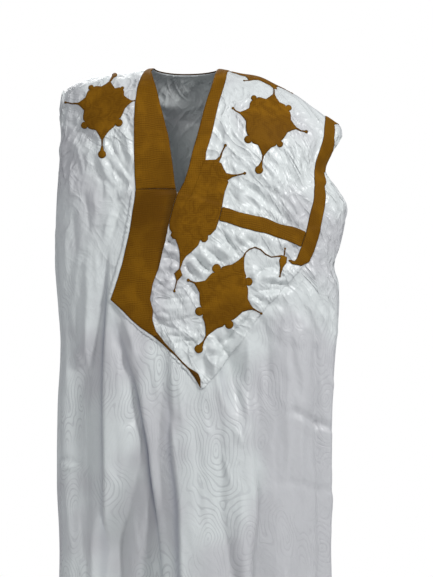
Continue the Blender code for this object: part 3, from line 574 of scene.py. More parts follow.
def crumpled_share(tree, across, down, least):
    """How crumpled the cloth is there, from 0 to 1, and at least so much low down."""
    share = sums(tree, "MULTIPLY", soft_step(tree, down, *CRUMPLED_FRONT, at_low=1.0, at_high=least),
                 soft_step(tree, down, *CRUMPLED_BACK, at_low=least))
    off_ridge = soft_step(tree, sums(tree, "ABSOLUTE", down), 0.0, RIDGE_REACH, at_low=RIDGE_CRUMPLE)
    share = sums(tree, "MULTIPLY", share, off_ridge)
    right_side = soft_step(tree, across, *SMOOTHER_ACROSS, at_low=SMOOTHER, at_high=0.0)
    right_side = sums(tree, "MULTIPLY", right_side, soft_step(tree, down, *SMOOTHER_DOWN))
    return sums(tree, "MULTIPLY", share, sums(tree, "SUBTRACT", 1.0, right_side))


def woven_ovals(tree, place, down, shift, pattern):
    """The woven pattern, from 0 to 1, that strong low down."""
    oval = moved(tree, "MULTIPLY", place, (1 / OVAL_WIDE, 1 / OVAL_TALL, 0))
    oval = moved(tree, "ADD", oval, moved(tree, "MULTIPLY", shift, OVAL_WARP))
    nearest = added(tree, "TexVoronoi", {"Vector": oval, "Scale": 1.0, "Smoothness": 0.22,
                                         "Randomness": 0.80},
                    voronoi_dimensions="2D", feature="SMOOTH_F1")
    wander = patches(tree, place, per_metre=55, stretch=(1, 0.35, 1))
    wavy = sums(tree, "MULTIPLY_ADD", wander, 0.9,
                sums(tree, "MULTIPLY", nearest, 2 * math.pi * OVAL_LINES))
    woven = soft_step(tree, sums(tree, "SINE", wavy), 0.30, 0.95)
    strength = soft_step(tree, patches(tree, place, per_metre=7, detail=2.0), 0.42, 0.60, at_low=0.12)
    shown = soft_step(tree, sums(tree, "ABSOLUTE", down), *OVALS_FROM, at_low=OVALS_ABOVE,
                      at_high=pattern)
    return sums(tree, "MULTIPLY", woven, sums(tree, "MULTIPLY", strength, shown))


def damask_tint(tree, place, across, down, woven):
    """White, duller in the woven pattern, soiled in patches, and greyed by painted shade low on the
    wearer's left and in under the pleats.
    """
    tint = mixed(tree, woven, WHITE, WOVEN_WHITE)
    # Painted shade low on the wearer's left, added to the random soiled patches.
    low_left_shade = soft_step(tree, across, *LOW_LEFT_ACROSS, at_high=LOW_LEFT_SHADE)
    low_left_shade = sums(tree, "MULTIPLY", low_left_shade, soft_step(tree, down, *LOW_LEFT_DOWN))
    greyed = sums(tree, "ADD", patches(tree, place, per_metre=5, detail=2.0), low_left_shade)
    greyed = soft_step(tree, greyed, 0.40, 0.70)
    tint = mixed(tree, sums(tree, "MULTIPLY", greyed, SOIL_AND_SHADE_STRENGTH), tint, SOIL_AND_SHADE_WHITE)
    # Painted shade in under the pleats' edges, for the dark of folds finer than the mesh, read from an
    # attribute of the front.
    painted_pleat_shade = added(tree, "Attribute", {}, attribute_name="painted_pleat_shade").node.outputs["Fac"]
    return mixed(tree, painted_pleat_shade, tint, PLEAT_SHADE_GREY)


def crumpled_facets(tree, place, shift, share):
    """Where the crumpled cloth faces, as the Normal of the next layer of bumps."""
    facing = {}
    for turn, per_metre, long, height in CRUMPLES:
        turned = added(tree, "VectorRotate", {"Vector": place, "Angle": turn}, rotation_type="Z_AXIS")
        turned = moved(tree, "MULTIPLY", turned, (1, 1 / long, 1))
        turned = moved(tree, "ADD", turned, moved(tree, "MULTIPLY", shift, CRUMPLE_WARP))
        facets = added(tree, "TexNoise", {"Vector": turned, "Scale": per_metre, "Detail": 2.5,
                                          "Roughness": 0.55, "Lacunarity": 2.1, "Offset": 0.9,
                                          "Gain": 1.6},
                       noise_dimensions="2D", noise_type="RIDGED_MULTIFRACTAL")
        raised = sums(tree, "MULTIPLY", facets, share)
        bump = {"Strength": 1.0, "Distance": height, "Height": raised}
        facing = {"Normal": added(tree, "Bump", bump | facing)}
    return facing


def damask_material(name, pattern, crumple):
    """Damask with its woven pattern that strong, and crumpled at least so much all over."""
    material, tree, shader, place, across, down = new_material(name)
    shift = patches(tree, place, per_metre=10, detail=1.5).node.outputs["Color"]
    share = crumpled_share(tree, across, down, crumple)
    woven = woven_ovals(tree, place, down, shift, pattern)
    tree.links.new(damask_tint(tree, place, across, down, woven), shader.inputs["Base Color"])
    rough = soft_step(tree, woven, 0.0, 1.0, at_low=PLAIN_ROUGHNESS, at_high=WOVEN_ROUGHNESS)
    rough = sums(tree, "MULTIPLY_ADD", share, CRUMPLED_CHANGE, rough)
    tree.links.new(rough, shader.inputs["Roughness"])
    shader.inputs["Specular IOR Level"].default_value = 0.45
    threads = sums(tree, "MULTIPLY", patches(tree, place, per_metre=900, detail=0.0), 0.25)
    fine = sums(tree, "MULTIPLY_ADD", woven, -0.9, threads)
    rumples = patches(tree, place, per_metre=60, detail=3.0, roughness=0.6)
    fine = sums(tree, "MULTIPLY_ADD", rumples, 1.4, fine)
    bump = {"Strength": 0.35, "Distance": 0.0012, "Height": fine}
    bump = added(tree, "Bump", bump | crumpled_facets(tree, place, shift, share))
    tree.links.new(bump, shader.inputs["Normal"])
    return material


def piece_of(name, flat, material, wall):
    """The piece of a flat sheet in (across, down, height). It is laid on the form at the end."""
    uv = flat.loops.layers.uv.new("cloth")
    for face in flat.faces:
        for loop in face.loops:
            loop[uv].uv = loop.vert.co[:2]
    bmesh.ops.reverse_faces(flat, faces=flat.faces[:])
    mesh = bpy.data.meshes.new(name)
    flat.to_mesh(mesh)
    flat.free()
    mesh.shade_smooth()
    mesh.materials.append(material)
    piece = bpy.data.objects.new(name, mesh)
    bpy.context.scene.collection.objects.link(piece)
    shell = piece.modifiers.new("wall", "SOLIDIFY")
    shell.thickness = wall
    shell.offset = -1
    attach(piece, "root")
    return piece


# The neck's edge as the front is seen: x on the wearer's right and left, at heights.
NECK_COLUMNS = ("z", "right", "left")
NECKLINE = (
    (-0.012, -0.0720, 0.0710),
    (-0.034, -0.0650, 0.0650),
    (-0.053, -0.0590, 0.0600),
    (-0.091, -0.0500, 0.0480),
    (-0.127, -0.0400, 0.0390),
    (-0.162, -0.0310, 0.0300),
    (-0.197, -0.0260, 0.0200),
    (-0.231, -0.0210, 0.0120),
    (-0.262, -0.0175, 0.0020),
    (-0.277, -0.0150, -0.0060),
)
NECK_POINT = (-0.0120, -0.2860)
NECK_HALF = 0.0745          # on the ridge
UNDER_BAND = 0.004          # how far the cloth is cut back from the bands' inner edges
PAST_RIDGE = 0.010          # how far over the ridge the cutting line goes
# Where the sheet is cut into cells: the end of each span and its number of cells.
FRONT_ACROSS = ((-CLOTH_HALF_WIDTH,), (-0.28, 26), (0.24, 150), (CLOTH_HALF_WIDTH, 40))
FRONT_DOWN = ((SEAM_GAP / 2,), (0.46, 100), (1.14, 88), (CLOTH_LENGTH, 38))


def neckline(side, move=0.0):
    """The neckline's edge on one side, downwards, moved away from the opening."""
    away = -move if side == "right" else move
    rows = [dict(zip(NECK_COLUMNS, row)) for row in NECKLINE]
    return [(row[side] + away, row["z"]) for row in rows]


damask = damask_material("white_damask", pattern=1.0, crumple=0.12)
edge = seen([*neckline("right", UNDER_BAND), NECK_POINT, *neckline("left", UNDER_BAND)[::-1]])
wide = NECK_HALF + UNDER_BAND
flat = flat_sheet(spaced(FRONT_ACROSS), spaced(FRONT_DOWN))
cut_out(flat, np.array([(-wide, -PAST_RIDGE), *edge, (wide, -PAST_RIDGE)]))
front = piece_of("front_panel_cloth", flat, damask, CLOTH_WALL)
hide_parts("front_panel")

# ------------------------------------------------------------------------------------------------
# The robe's back. The same length of damask, cut higher round the nape. It hangs in soft folds
# from the shoulders to the hem.

NAPE_DOWN = 0.046
NAPE_POINTS = 24
NAPE_POWER = 0.8            # under 1 the nape's cut is squarer than an ellipse
BACK_ACROSS = ((-CLOTH_HALF_WIDTH,), (CLOTH_HALF_WIDTH, 200))
BACK_DOWN = ((-CLOTH_LENGTH,), (-1.00, 52), (-0.46, 74), (-SEAM_GAP / 2, 92))


def nape_curve(grow=0.0):
    """The neck's edge over the back, from the wearer's right to left, or a line outside it."""
    half, down = NECK_HALF + grow, NAPE_DOWN + grow
    turns = [math.pi * k / NAPE_POINTS for k in range(1, NAPE_POINTS)]
    return [(-half * math.cos(a), -down * math.sin(a) ** NAPE_POWER) for a in turns]


flat = flat_sheet(spaced(BACK_ACROSS), spaced(BACK_DOWN))
cut_out(flat, np.array([(-wide, PAST_RIDGE), *nape_curve(UNDER_BAND), (wide, PAST_RIDGE)]))
back = piece_of("back_panel_cloth", flat, damask, CLOTH_WALL)
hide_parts("back_panel")

# ------------------------------------------------------------------------------------------------
# The chest pocket. A large pointed patch of the same damask, sewn on the front under the bands,
# with its mouth slanting down from the neck to the wearer's left.

POCKET = (
    (-0.0120, -0.2890), (0.084, -0.3150), (0.157, -0.3340), (0.207, -0.3510), (0.266, -0.3670),
    (0.298, -0.3600), (0.291, -0.3830), (0.280, -0.4130), (0.270, -0.4330),
    (0.227, -0.4810), (0.170, -0.5430), (0.134, -0.5930), (0.084, -0.6610), (0.040, -0.7100),
    (0.008, -0.6680), (-0.040, -0.6170), (-0.088, -0.5850), (-0.127, -0.5490), (-0.163, -0.5150),
    (-0.151, -0.4720), (-0.131, -0.4030), (-0.118, -0.3340), (-0.110, -0.2800),
)
POCKET_WALL = 0.0010
POCKET_HEIGHT = 0.0018      # of its face over the front, and at the very edge
POCKET_EDGE = 0.0012
POCKET_TURN = 0.006         # how far in from the edge it comes up to its height
POCKET_CELL = 0.0030
POCKET_STEP = 0.004


def rounded(outline, step, times):
    """A closed outline with more points and its corners eased."""
    points = np.array(outline, float)
    ahead = np.roll(points, -1, axis=0)
    more = []
    for here, there in zip(points, ahead):
        cuts = max(1, math.ceil(math.dist(here, there) / step))
        more += [here + (there - here) * k / cuts for k in range(cuts)]
    points = np.array(more)
    for _ in range(times):
        points = 0.5 * points + 0.25 * (np.roll(points, 1, axis=0) + np.roll(points, -1, axis=0))
    return points


def cut_piece(outline, cell):
    """A flat piece of that outline, cut into cells."""
    flat = bmesh.new()
    flat.faces.new([flat.verts.new((*place, 0)) for place in outline])
    low, high = outline.min(axis=0), outline.max(axis=0)
    for axis, direction in ((0, (1, 0, 0)), (1, (0, 1, 0))):
        lines = [k * cell for k in range(math.ceil(low[axis] / cell), math.floor(high[axis] / cell) + 1)]
        strips = [(lines, set(flat.faces))]
        while strips:
            lines, faces = strips.pop()
            if not lines or not faces:
                continue
            middle = len(lines) // 2
            at = lines[middle]
            geom = {v for f in faces for v in f.verts} | {e for f in faces for e in f.edges} | faces
            bmesh.ops.bisect_plane(flat, geom=list(geom), dist=1e-6,
                                   plane_co=[at * d for d in direction], plane_no=direction)
            edges = {e for v in geom if isinstance(v, bmesh.types.BMVert) and v.is_valid
                     for e in v.link_edges}
            near = {f for e in edges for f in e.link_faces} | {f for f in faces if f.is_valid}
            sides = ({f for f in near if f.calc_center_median()[axis] < at},
                     {f for f in near if f.calc_center_median()[axis] > at})
            strips += [(lines[:middle], sides[0]), (lines[middle + 1:], sides[1])]
    for face in flat.faces:
        face.normal_update()
    if sum(face.normal.z for face in flat.faces) < 0:
        bmesh.ops.reverse_faces(flat, faces=flat.faces[:])
    return flat


pocket_edge = rounded(seen(POCKET), POCKET_STEP, 2)
flat = cut_piece(pocket_edge, POCKET_CELL)
far = nearest_on(np.array([v.co[:2] for v in flat.verts]), pocket_edge)[0]
for vertex, share in zip(flat.verts, eased(far / POCKET_TURN)):
    vertex.co.z = POCKET_EDGE + (POCKET_HEIGHT - POCKET_EDGE) * share
crumpled = damask_material("crumpled_damask", pattern=0.22, crumple=1.0)
pocket = piece_of("chest_pocket_cloth", flat, crumpled, POCKET_WALL)
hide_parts("chest_pocket")

# ------------------------------------------------------------------------------------------------
# The bands round the neck. Close rows of brown stitching in silky thread, wider down the wearer's
# right side, narrower down the left, and plain round the nape.

EMBROIDERY_WALL = 0.0012
EMBROIDERY_EDGE = 0.0010    # height over the damask at the edge
EMBROIDERY_CROWN = 0.0021   # and from CROWN_RUN in
CROWN_RUN = 0.0030
EMBROIDERY_CELL = 0.0030
EMBROIDERY_STEP = 0.003
JOIN_STEP = 0.001           # steps of an outline where it is looked for a join with another piece
JOIN_REACH = 0.0025
ONTO_POCKET = (0.006, 0.001)        # how far outside the pocket a piece starts to rise, and is up
BROWN_LOW = (0.135, 0.055, 0.0010, 1)
BROWN_HIGH = (0.214, 0.094, 0.0036, 1)
WORN_BROWN = (0.272, 0.122, 0.0045, 1)
DULL_BROWN = (0.112, 0.045, 0.001, 1)
STRAND_BROWN = (0.095, 0.040, 0.001, 1)
SHADED_BROWN = (0.080, 0.030, 0.0006, 1)
EDGE_CORD = (0.052, 0.024, 0.005, 1)
ROW = 0.0042                # between the rows of stitches
ZIGZAG = ((0.0075, 0.0098), (0.0081, 0.0105))       # across and down, leaning each way
SWIRLS = (30, 22, 0)        # of satin stitch, to a metre across and down
SWIRL_WARP = (2.6, 2.2, 0)
PETALS = 1.9                # rings to a swirl
# The placket is darker just under its seam with the right neck band.
SEAM_SHADE = 0.5
SEAM_SHADE_FROM = (0.338, 0.348)
SEAM_SHADE_FADE = (0.39, 0.56)
SEAM_SHADE_ACROSS = (-0.02, 0.0)
EMBROIDERED = []


def stitched_rows(tree, place, across, down):
    """Fine rows crossed by a zigzag, from -1 to 1."""
    wander = patches(tree, place, per_metre=40, detail=1.5)
    across = sums(tree, "MULTIPLY_ADD", wander, 0.006, across)
    down = sums(tree, "MULTIPLY_ADD", wander, 0.005, down)
    rows = sums(tree, "SINE", sums(tree, "MULTIPLY", down, 2 * math.pi / ROW))
    leans = []
    for operation, (apart, below) in zip(("ADD", "SUBTRACT"), ZIGZAG):
        lean = sums(tree, operation, sums(tree, "MULTIPLY", across, 2 * math.pi / apart),
                    sums(tree, "MULTIPLY", down, 2 * math.pi / below))
        leans.append(sums(tree, "SINE", lean))
    return sums(tree, "MULTIPLY_ADD", sums(tree, "MULTIPLY", *leans), 0.6,
                sums(tree, "MULTIPLY", rows, 0.4))


def swirled(tree, place, stitched):
    """Satin stitch that turns round in rings like petals, over the rows."""
    bent = patches(tree, place, per_metre=30, detail=1.5).node.outputs["Color"]
    spread = moved(tree, "MULTIPLY", place, SWIRLS)
    spread = moved(tree, "ADD", spread, moved(tree, "MULTIPLY", bent, SWIRL_WARP))
    turned = added(tree, "TexVoronoi", {"Vector": spread, "Scale": 1.0, "Smoothness": 0.25},
                   voronoi_dimensions="2D", feature="SMOOTH_F1")
    petals = sums(tree, "SINE", sums(tree, "MULTIPLY", turned, 2 * math.pi * PETALS))
    return sums(tree, "MULTIPLY_ADD", petals, 0.34, sums(tree, "MULTIPLY", stitched, 0.6))


def thread_tint(tree, place, across, down, stitched, strands):
    """Brown, lighter on the stitches' crowns and where it is worn, and dark at its edge cord."""
    tint = mixed(tree, soft_step(tree, stitched, -0.8, 0.8), BROWN_LOW, BROWN_HIGH)
    worn = soft_step(tree, patches(tree, place, per_metre=22, detail=2.5), 0.44, 0.70)
    tint = mixed(tree, sums(tree, "MULTIPLY", worn, 0.55), tint, WORN_BROWN)
    dull = soft_step(tree, patches(tree, place, per_metre=9), 0.48, 0.66)
    tint = mixed(tree, sums(tree, "MULTIPLY", dull, 0.40), tint, DULL_BROWN)
    tint = mixed(tree, sums(tree, "MULTIPLY", strands, 0.30), tint, STRAND_BROWN)
    under_seam = sums(tree, "MULTIPLY", soft_step(tree, down, *SEAM_SHADE_FROM),
                      soft_step(tree, down, *SEAM_SHADE_FADE, at_low=1.0, at_high=0.0))
    on_placket = soft_step(tree, across, *SEAM_SHADE_ACROSS, at_low=SEAM_SHADE, at_high=0.0)
    tint = mixed(tree, sums(tree, "MULTIPLY", under_seam, on_placket), tint, SHADED_BROWN)
    rim = added(tree, "Attribute", {}, attribute_name="rim").node.outputs["Fac"]
    return mixed(tree, soft_step(tree, rim, 0.0, 0.55, at_low=0.62, at_high=0.0), tint, EDGE_CORD)


def thread_material(name, swirls):
    """Brown stitching: in fine rows, or, with swirls, in satin stitch that turns round in the motifs."""
    material, tree, shader, place, across, down = new_material(name)
    stitched = stitched_rows(tree, place, across, down)
    if swirls:
        stitched = swirled(tree, place, stitched)
    strands = patches(tree, place, per_metre=700, stretch=(1.0, 0.25, 1))
    tint = thread_tint(tree, place, across, down, stitched, strands)
    tree.links.new(tint, shader.inputs["Base Color"])
    shader.inputs["Roughness"].default_value = 0.60
    shader.inputs["Specular IOR Level"].default_value = 0.06
    height = sums(tree, "MULTIPLY_ADD", stitched, 0.5, sums(tree, "MULTIPLY", strands, 0.8))
    bump = added(tree, "Bump", {"Strength": 0.6, "Distance": 0.0008, "Height": height})
    tree.links.new(bump, shader.inputs["Normal"])
    return material


def signed_distance(places, outline):
    """How far outside an outline each place is, less than 0 inside it."""
    distance = nearest_on(places, outline)[0]
    return np.where(inside(places, outline), -distance, distance)


def embroider(name, outline, node, ease=1, swirls=False, joins=None, lift=0.0):
    """A stitched piece, raised a little towards its middle, on the pocket where that lies under it.
    Its corners are eased that many times. It isn't lower at the edge where it joins another piece,
    whose outline is given, and lift is how much higher all of it lies."""
    outline = rounded(outline, EMBROIDERY_STEP, ease)
    flat = cut_piece(outline, EMBROIDERY_CELL)
    places = np.array([v.co[:2] for v in flat.verts])
    far = nearest_on(places, outline)[0]
    if joins is not None:
        fine = rounded(outline, JOIN_STEP, 0)
        free = fine[signed_distance(fine, joins) > JOIN_REACH]
        far = np.sqrt(((places[:, None] - free[None]) ** 2).sum(axis=-1).min(axis=1))
    crown = eased(far / CROWN_RUN)
    starts, up = ONTO_POCKET
    on_pocket = eased((starts - signed_distance(places, pocket_edge)) / (starts - up))
    heights = EMBROIDERY_EDGE + (EMBROIDERY_CROWN - EMBROIDERY_EDGE) * crown + POCKET_HEIGHT * on_pocket
    for vertex, height in zip(flat.verts, heights + lift):
        vertex.co.z = height
    made = piece_of(name, flat, satin if swirls else thread, EMBROIDERY_WALL)
    made.data.attributes.new("rim", "FLOAT", "POINT").data.foreach_set("value", crown)
    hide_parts(node)
    EMBROIDERED.append((made, outline))
    return made


thread = thread_material("brown_thread", swirls=False)
satin = thread_material("brown_satin_stitch", swirls=True)
RIGHT_BAND_OUTER = (
    (-0.0880, -0.012), (-0.0960, -0.033), (-0.1010, -0.053), (-0.1050, -0.091), (-0.1060, -0.127),
    (-0.1055, -0.197), (-0.1040, -0.248), (-0.1020, -0.277),
)
# The part of the left band's end that meets the motif under the V.
LEFT_BAND_JOIN = ((0.0700, -0.2120), (0.0454, -0.2142), (0.0344, -0.2482), (0.0182, -0.2896),
                  (-0.0120, -0.2867), (0.0000, -0.3300), (0.0700, -0.3300))
RIGHT_BAND_TOP = 0.0150      # how wide the bands are on the ridge
LEFT_BAND_TOP = 0.0250
JOIN_DROP = 0.0004           # how much lower a piece is laid than the one that it meets
LEFT_BAND_OUTER = (
    (0.0970, -0.011), (0.0930, -0.033), (0.0880, -0.053), (0.0770, -0.090), (0.0690, -0.127),
    (0.0610, -0.162), (0.0500, -0.197), (0.0490, -0.214), (0.0380, -0.248), (0.0200, -0.292),
)

ridge = SEAM_GAP / 2
top = [(-NECK_HALF - RIGHT_BAND_TOP, ridge), (-NECK_HALF, ridge)]
inner, outer = seen(neckline("right")), seen(RIGHT_BAND_OUTER)
embroider("neck_band_right_stitched", [*top, *inner, *outer[::-1]], "neck_band_right", 0)
top = [(NECK_HALF, ridge), (NECK_HALF + LEFT_BAND_TOP, ridge)]
inner, outer = seen([*neckline("left"), NECK_POINT]), seen(LEFT_BAND_OUTER)
left_band = embroider("neck_band_left_stitched", [*top, *outer, *inner[::-1]], "neck_band_left", 0,
                      joins=seen(LEFT_BAND_JOIN), lift=-JOIN_DROP)
outer = []
for k in range(1, NAPE_POINTS):
    turned = math.pi * k / NAPE_POINTS
    grown = RIGHT_BAND_TOP + (LEFT_BAND_TOP - RIGHT_BAND_TOP) * k / NAPE_POINTS
    outer.append((-(NECK_HALF + grown) * math.cos(turned),
                  -(NAPE_DOWN + grown) * math.sin(turned) ** NAPE_POWER))
starts = [(-NECK_HALF - RIGHT_BAND_TOP, -ridge), (-NECK_HALF, -ridge)]
ends = [(NECK_HALF, -ridge), (NECK_HALF + LEFT_BAND_TOP, -ridge)]
nape_band = embroider("neck_band_back_stitched", [*starts, *nape_curve(), *ends, *outer[::-1]],
                      "neck_band_back", 0)

# ------------------------------------------------------------------------------------------------
# The wide band that runs down from the neck and turns along the pocket's lower edge to its point.

PLACKET_RIGHT = (
    (-0.1020, -0.2773), (-0.1045, -0.300), (-0.1100, -0.335), (-0.1150, -0.369), (-0.1230, -0.403),
    (-0.1310, -0.438), (-0.1410, -0.472), (-0.1510, -0.502), (-0.1555, -0.515), (-0.1440, -0.525),
    (-0.1270, -0.541), (-0.1120, -0.557), (-0.0900, -0.576), (-0.0640, -0.593), (-0.0430, -0.611),
    (-0.0160, -0.636), (0.0110, -0.663), (0.0260, -0.683), (0.0390, -0.706),
)
PLACKET_LEFT = (
    (0.0380, -0.685), (0.0330, -0.673), (0.0220, -0.666), (0.0135, -0.661), (-0.0135, -0.633),
    (-0.0395, -0.6055), (-0.0580, -0.582), (-0.0650, -0.560), (-0.0640, -0.536), (-0.0700, -0.513),
    (-0.0640, -0.480), (-0.0510, -0.445), (-0.0390, -0.393), (-0.0300, -0.350), (-0.0210, -0.313),
    (-0.0124, -0.2864), (-0.0150, -0.2773),
)
embroider("placket_band_stitched", seen([*PLACKET_RIGHT, *PLACKET_LEFT]), "placket_band")

# ------------------------------------------------------------------------------------------------
# The band along the pocket's mouth, and the one over the wearer's left shoulder that hooks under it.

MOUTH_BAND = (
    (0.0844, -0.3150), (0.1570, -0.3340), (0.2070, -0.3510), (0.2656, -0.3680),
    (0.2546, -0.4010), (0.2250, -0.3880), (0.1600, -0.3690), (0.1080, -0.3535), (0.0774, -0.3450),
)
SHOULDER_BAND_INNER = (
    (0.3140, -0.107), (0.3090, -0.137), (0.3050, -0.167), (0.2940, -0.199), (0.2870, -0.225),
    (0.2840, -0.281), (0.2770, -0.320), (0.2660, -0.368), (0.2550, -0.401), (0.2460, -0.425),
    (0.2400, -0.4315), (0.2300, -0.4280),
)
SHOULDER_BAND_OUTER = (
    (0.2258, -0.4295), (0.2350, -0.4385), (0.2550, -0.4420), (0.2730, -0.4330), (0.2820, -0.413),
    (0.2930, -0.381), (0.3040, -0.331), (0.3090, -0.302), (0.3080, -0.269), (0.3080, -0.237),
    (0.3160, -0.215), (0.3280, -0.187), (0.3310, -0.159), (0.3330, -0.128),
)
# Over the ridge, as places on the cloth.
SHOULDER_BAND_BEHIND = ((0.3540, -0.045), (0.3440, -0.075), (0.3320, -0.045))
embroider("pocket_band_stitched", seen(MOUTH_BAND), "pocket_band")
over = [*seen([*SHOULDER_BAND_INNER, *SHOULDER_BAND_OUTER]), *SHOULDER_BAND_BEHIND]
embroider("shoulder_band_stitched", over, "shoulder_band")

# ------------------------------------------------------------------------------------------------
# The lozenges. Each is a four-cornered motif with lobed sides, and a stem with a bead from every
# corner.

# How far along a side, and how far out of it, as shares of its length.
SIDE_BODY = ((0.08, 0.040), (0.16, 0.088), (0.24, 0.122), (0.32, 0.140), (0.38, 0.146))
KNOB = {"out": 0.052, "radius": 0.148}
KNOB_TURNS = range(-125, 126, 25)
CORNER_TAPER = ((0.74, 0.0150), (0.88, 0.0072))     # share of the way to the corner, half width
STEM = 0.0013               # half a stem's width, and at the corner that it starts from
STEM_START = 1.6 * STEM
BEAD_TURNS = range(-150, 151, 30)


def along_spike(rows, bead):
    """Both edges of a tapering stem given as (x, z, half width), and the bead at its end."""
    right, left = [], []
    for k, (x, z, half) in enumerate(rows):
        x0, z0, _ = rows[max(k - 1, 0)]
        x1, z1, _ = rows[min(k + 1, len(rows) - 1)]
        size = math.hypot(x1 - x0, z1 - z0)
        across = ((z1 - z0) / size * half, -(x1 - x0) / size * half)
        right.append((x + across[0], z + across[1]))
        left.append((x - across[0], z - across[1]))
    (x0, z0, _), (x1, z1, _) = rows[-2:]
    heading = math.atan2(z1 - z0, x1 - x0)
    centre = (x1 + bead * math.cos(heading), z1 + bead * math.sin(heading))
    turns = [heading + math.radians(t) for t in BEAD_TURNS]
    end = [(centre[0] + bead * math.cos(t), centre[1] + bead * math.sin(t)) for t in turns]
    return right[:-1] + end + left[-2::-1]


def lobed_side(start, end, knob, bulge):
    """The bulging side from one corner's stem to the next, with a round knob part of the way."""
    shares = [(share * knob * 2, out * bulge) for share, out in SIDE_BODY]
    rest = [(1 - share * (1 - knob) * 2, out * bulge) for share, out in reversed(SIDE_BODY)]
    shares = [row for row in shares if row[0] < knob - KNOB["radius"]]
    rest = [row for row in rest if row[0] > knob + KNOB["radius"]]
    for turned in map(math.radians, KNOB_TURNS):
        shares.append((knob + KNOB["radius"] * math.sin(turned),
                       SIDE_BODY[-1][1] * bulge + KNOB["out"] + KNOB["radius"] * math.cos(turned)))
    (x0, z0), (x1, z1) = start, end
    return [(x0 + t * (x1 - x0) + out * (z1 - z0), z0 + t * (z1 - z0) - out * (x1 - x0))
            for t, out in [*shares, *rest]]


def lozenge(centre, knobs, bulges, spikes):
    """The outline of a lozenge, its spikes given anticlockwise: a corner, a stem and a bead's radius.
    knobs are how far along the side after each spike its knob is, bulges how full the side is."""
    outlines = []
    for corner, stem, bead in spikes:
        rows = [(centre[0] + t * (corner[0] - centre[0]), centre[1] + t * (corner[1] - centre[1]), half)
                for t, half in CORNER_TAPER]
        rows += [(*corner, STEM_START)] + [row if len(row) == 3 else (*row, STEM) for row in stem]
        outlines.append(along_spike(rows, bead))
    whole = []
    for spike, following, knob, bulge in zip(outlines, outlines[1:] + outlines[:1], knobs, bulges):
        whole += spike + lobed_side(spike[-1], following[0], knob, bulge)
    return whole


SHOULDER_LOZENGE = {
    "centre": (-0.172, -0.090),
    "knobs": (0.56, 0.48, 0.56, 0.43),
    "bulges": (2.30, 1.60, 1.60, 0.50),
    "spikes": (
        ((-0.112, -0.084), ((-0.1075, -0.083),), 0.0016),
        ((-0.162, -0.036), ((-0.156, -0.024),), 0.0062),
        ((-0.231, -0.086), ((-0.244, -0.085), (-0.258, -0.081)), 0.0028),
        ((-0.175, -0.169), ((-0.175, -0.181), (-0.175, -0.1915)), 0.0090),
    ),
}
CHEST_LOZENGE = {
    "centre": (0.186, -0.125),
    "knobs": (0.55, 0.50, 0.66, 0.38),
    "bulges": (1.20, 2.00, 1.25, 0.60),
    "spikes": (
        ((0.246, -0.142), ((0.256, -0.147), (0.264, -0.148)), 0.0040),
        ((0.198, -0.064), ((0.199, -0.056), (0.198, -0.046)), 0.0026),
        ((0.123, -0.110), ((0.114, -0.106), (0.110, -0.102)), 0.0030),
        ((0.173, -0.204), ((0.171, -0.214), (0.167, -0.226)), 0.0092),
    ),
}
POCKET_LOZENGE = {
    "centre": (0.088, -0.508),
    "knobs": (0.60, 0.50, 0.60, 0.40),
    "bulges": (0.30, 0.65, 0.35, 0.40),
    "spikes": (
        ((0.150, -0.534), ((0.159, -0.539), (0.166, -0.543)), 0.0026),
        ((0.130, -0.423), ((0.135, -0.413), (0.143, -0.406), (0.155, -0.402), (0.167, -0.407),
                           (0.178, -0.417), (0.190, -0.423), (0.203, -0.421), (0.2110, -0.4205, 0.0024),
                           (0.2160, -0.4250, 0.0086), (0.2150, -0.4340, 0.0080),
                           (0.2125, -0.4440, 0.0034), (0.2090, -0.4620)),
         0.0028),
        ((0.026, -0.479), ((0.020, -0.476), (0.015, -0.474)), 0.0036),
        ((0.051, -0.592), ((0.045, -0.603), (0.039, -0.613)), 0.0090),
    ),
}
TICK_BEAD = 0.0028
TICK_DROP = 0.0002
POCKET_TICK = ((0.2150, -0.4270, STEM), (0.2185, -0.4170, STEM), (0.2195, -0.4070, STEM))
BACK_LOZENGE = {
    "centre": (0.162, 0.004),
    "knobs": (0.50, 0.50, 0.50, 0.50),
    "bulges": (1.0, 1.0, 2.2, 2.2),
    "spikes": (
        ((0.216, -0.010), ((0.226, -0.014),), 0.0026),
        ((0.190, 0.070), ((0.195, 0.080),), 0.0030),
        ((0.106, 0.026), ((0.098, 0.029),), 0.0026),
        ((0.138, -0.062), ((0.130, -0.066),), 0.0026),
    ),
}
embroider("shoulder_motif_right_stitched", seen(lozenge(**SHOULDER_LOZENGE)), "shoulder_motif_right", 0,
          swirls=True)
embroider("chest_motif_left_stitched", seen(lozenge(**CHEST_LOZENGE)), "chest_motif_left", 0,
          swirls=True)
embroider("pocket_motif_stitched", seen(lozenge(**POCKET_LOZENGE)), "pocket_motif", 0, swirls=True)
embroider("pocket_motif_tick_stitched", seen(along_spike(POCKET_TICK, TICK_BEAD)), "pocket_motif", 0,
          swirls=True, lift=-TICK_DROP)
behind = [(across, -up) for across, up in lozenge(**BACK_LOZENGE)]
back_motif = embroider("back_motif_left_stitched", behind, "back_motif_left", 0, swirls=True)

# ------------------------------------------------------------------------------------------------
# The motif that hangs from the left band over the pocket, with three stems.

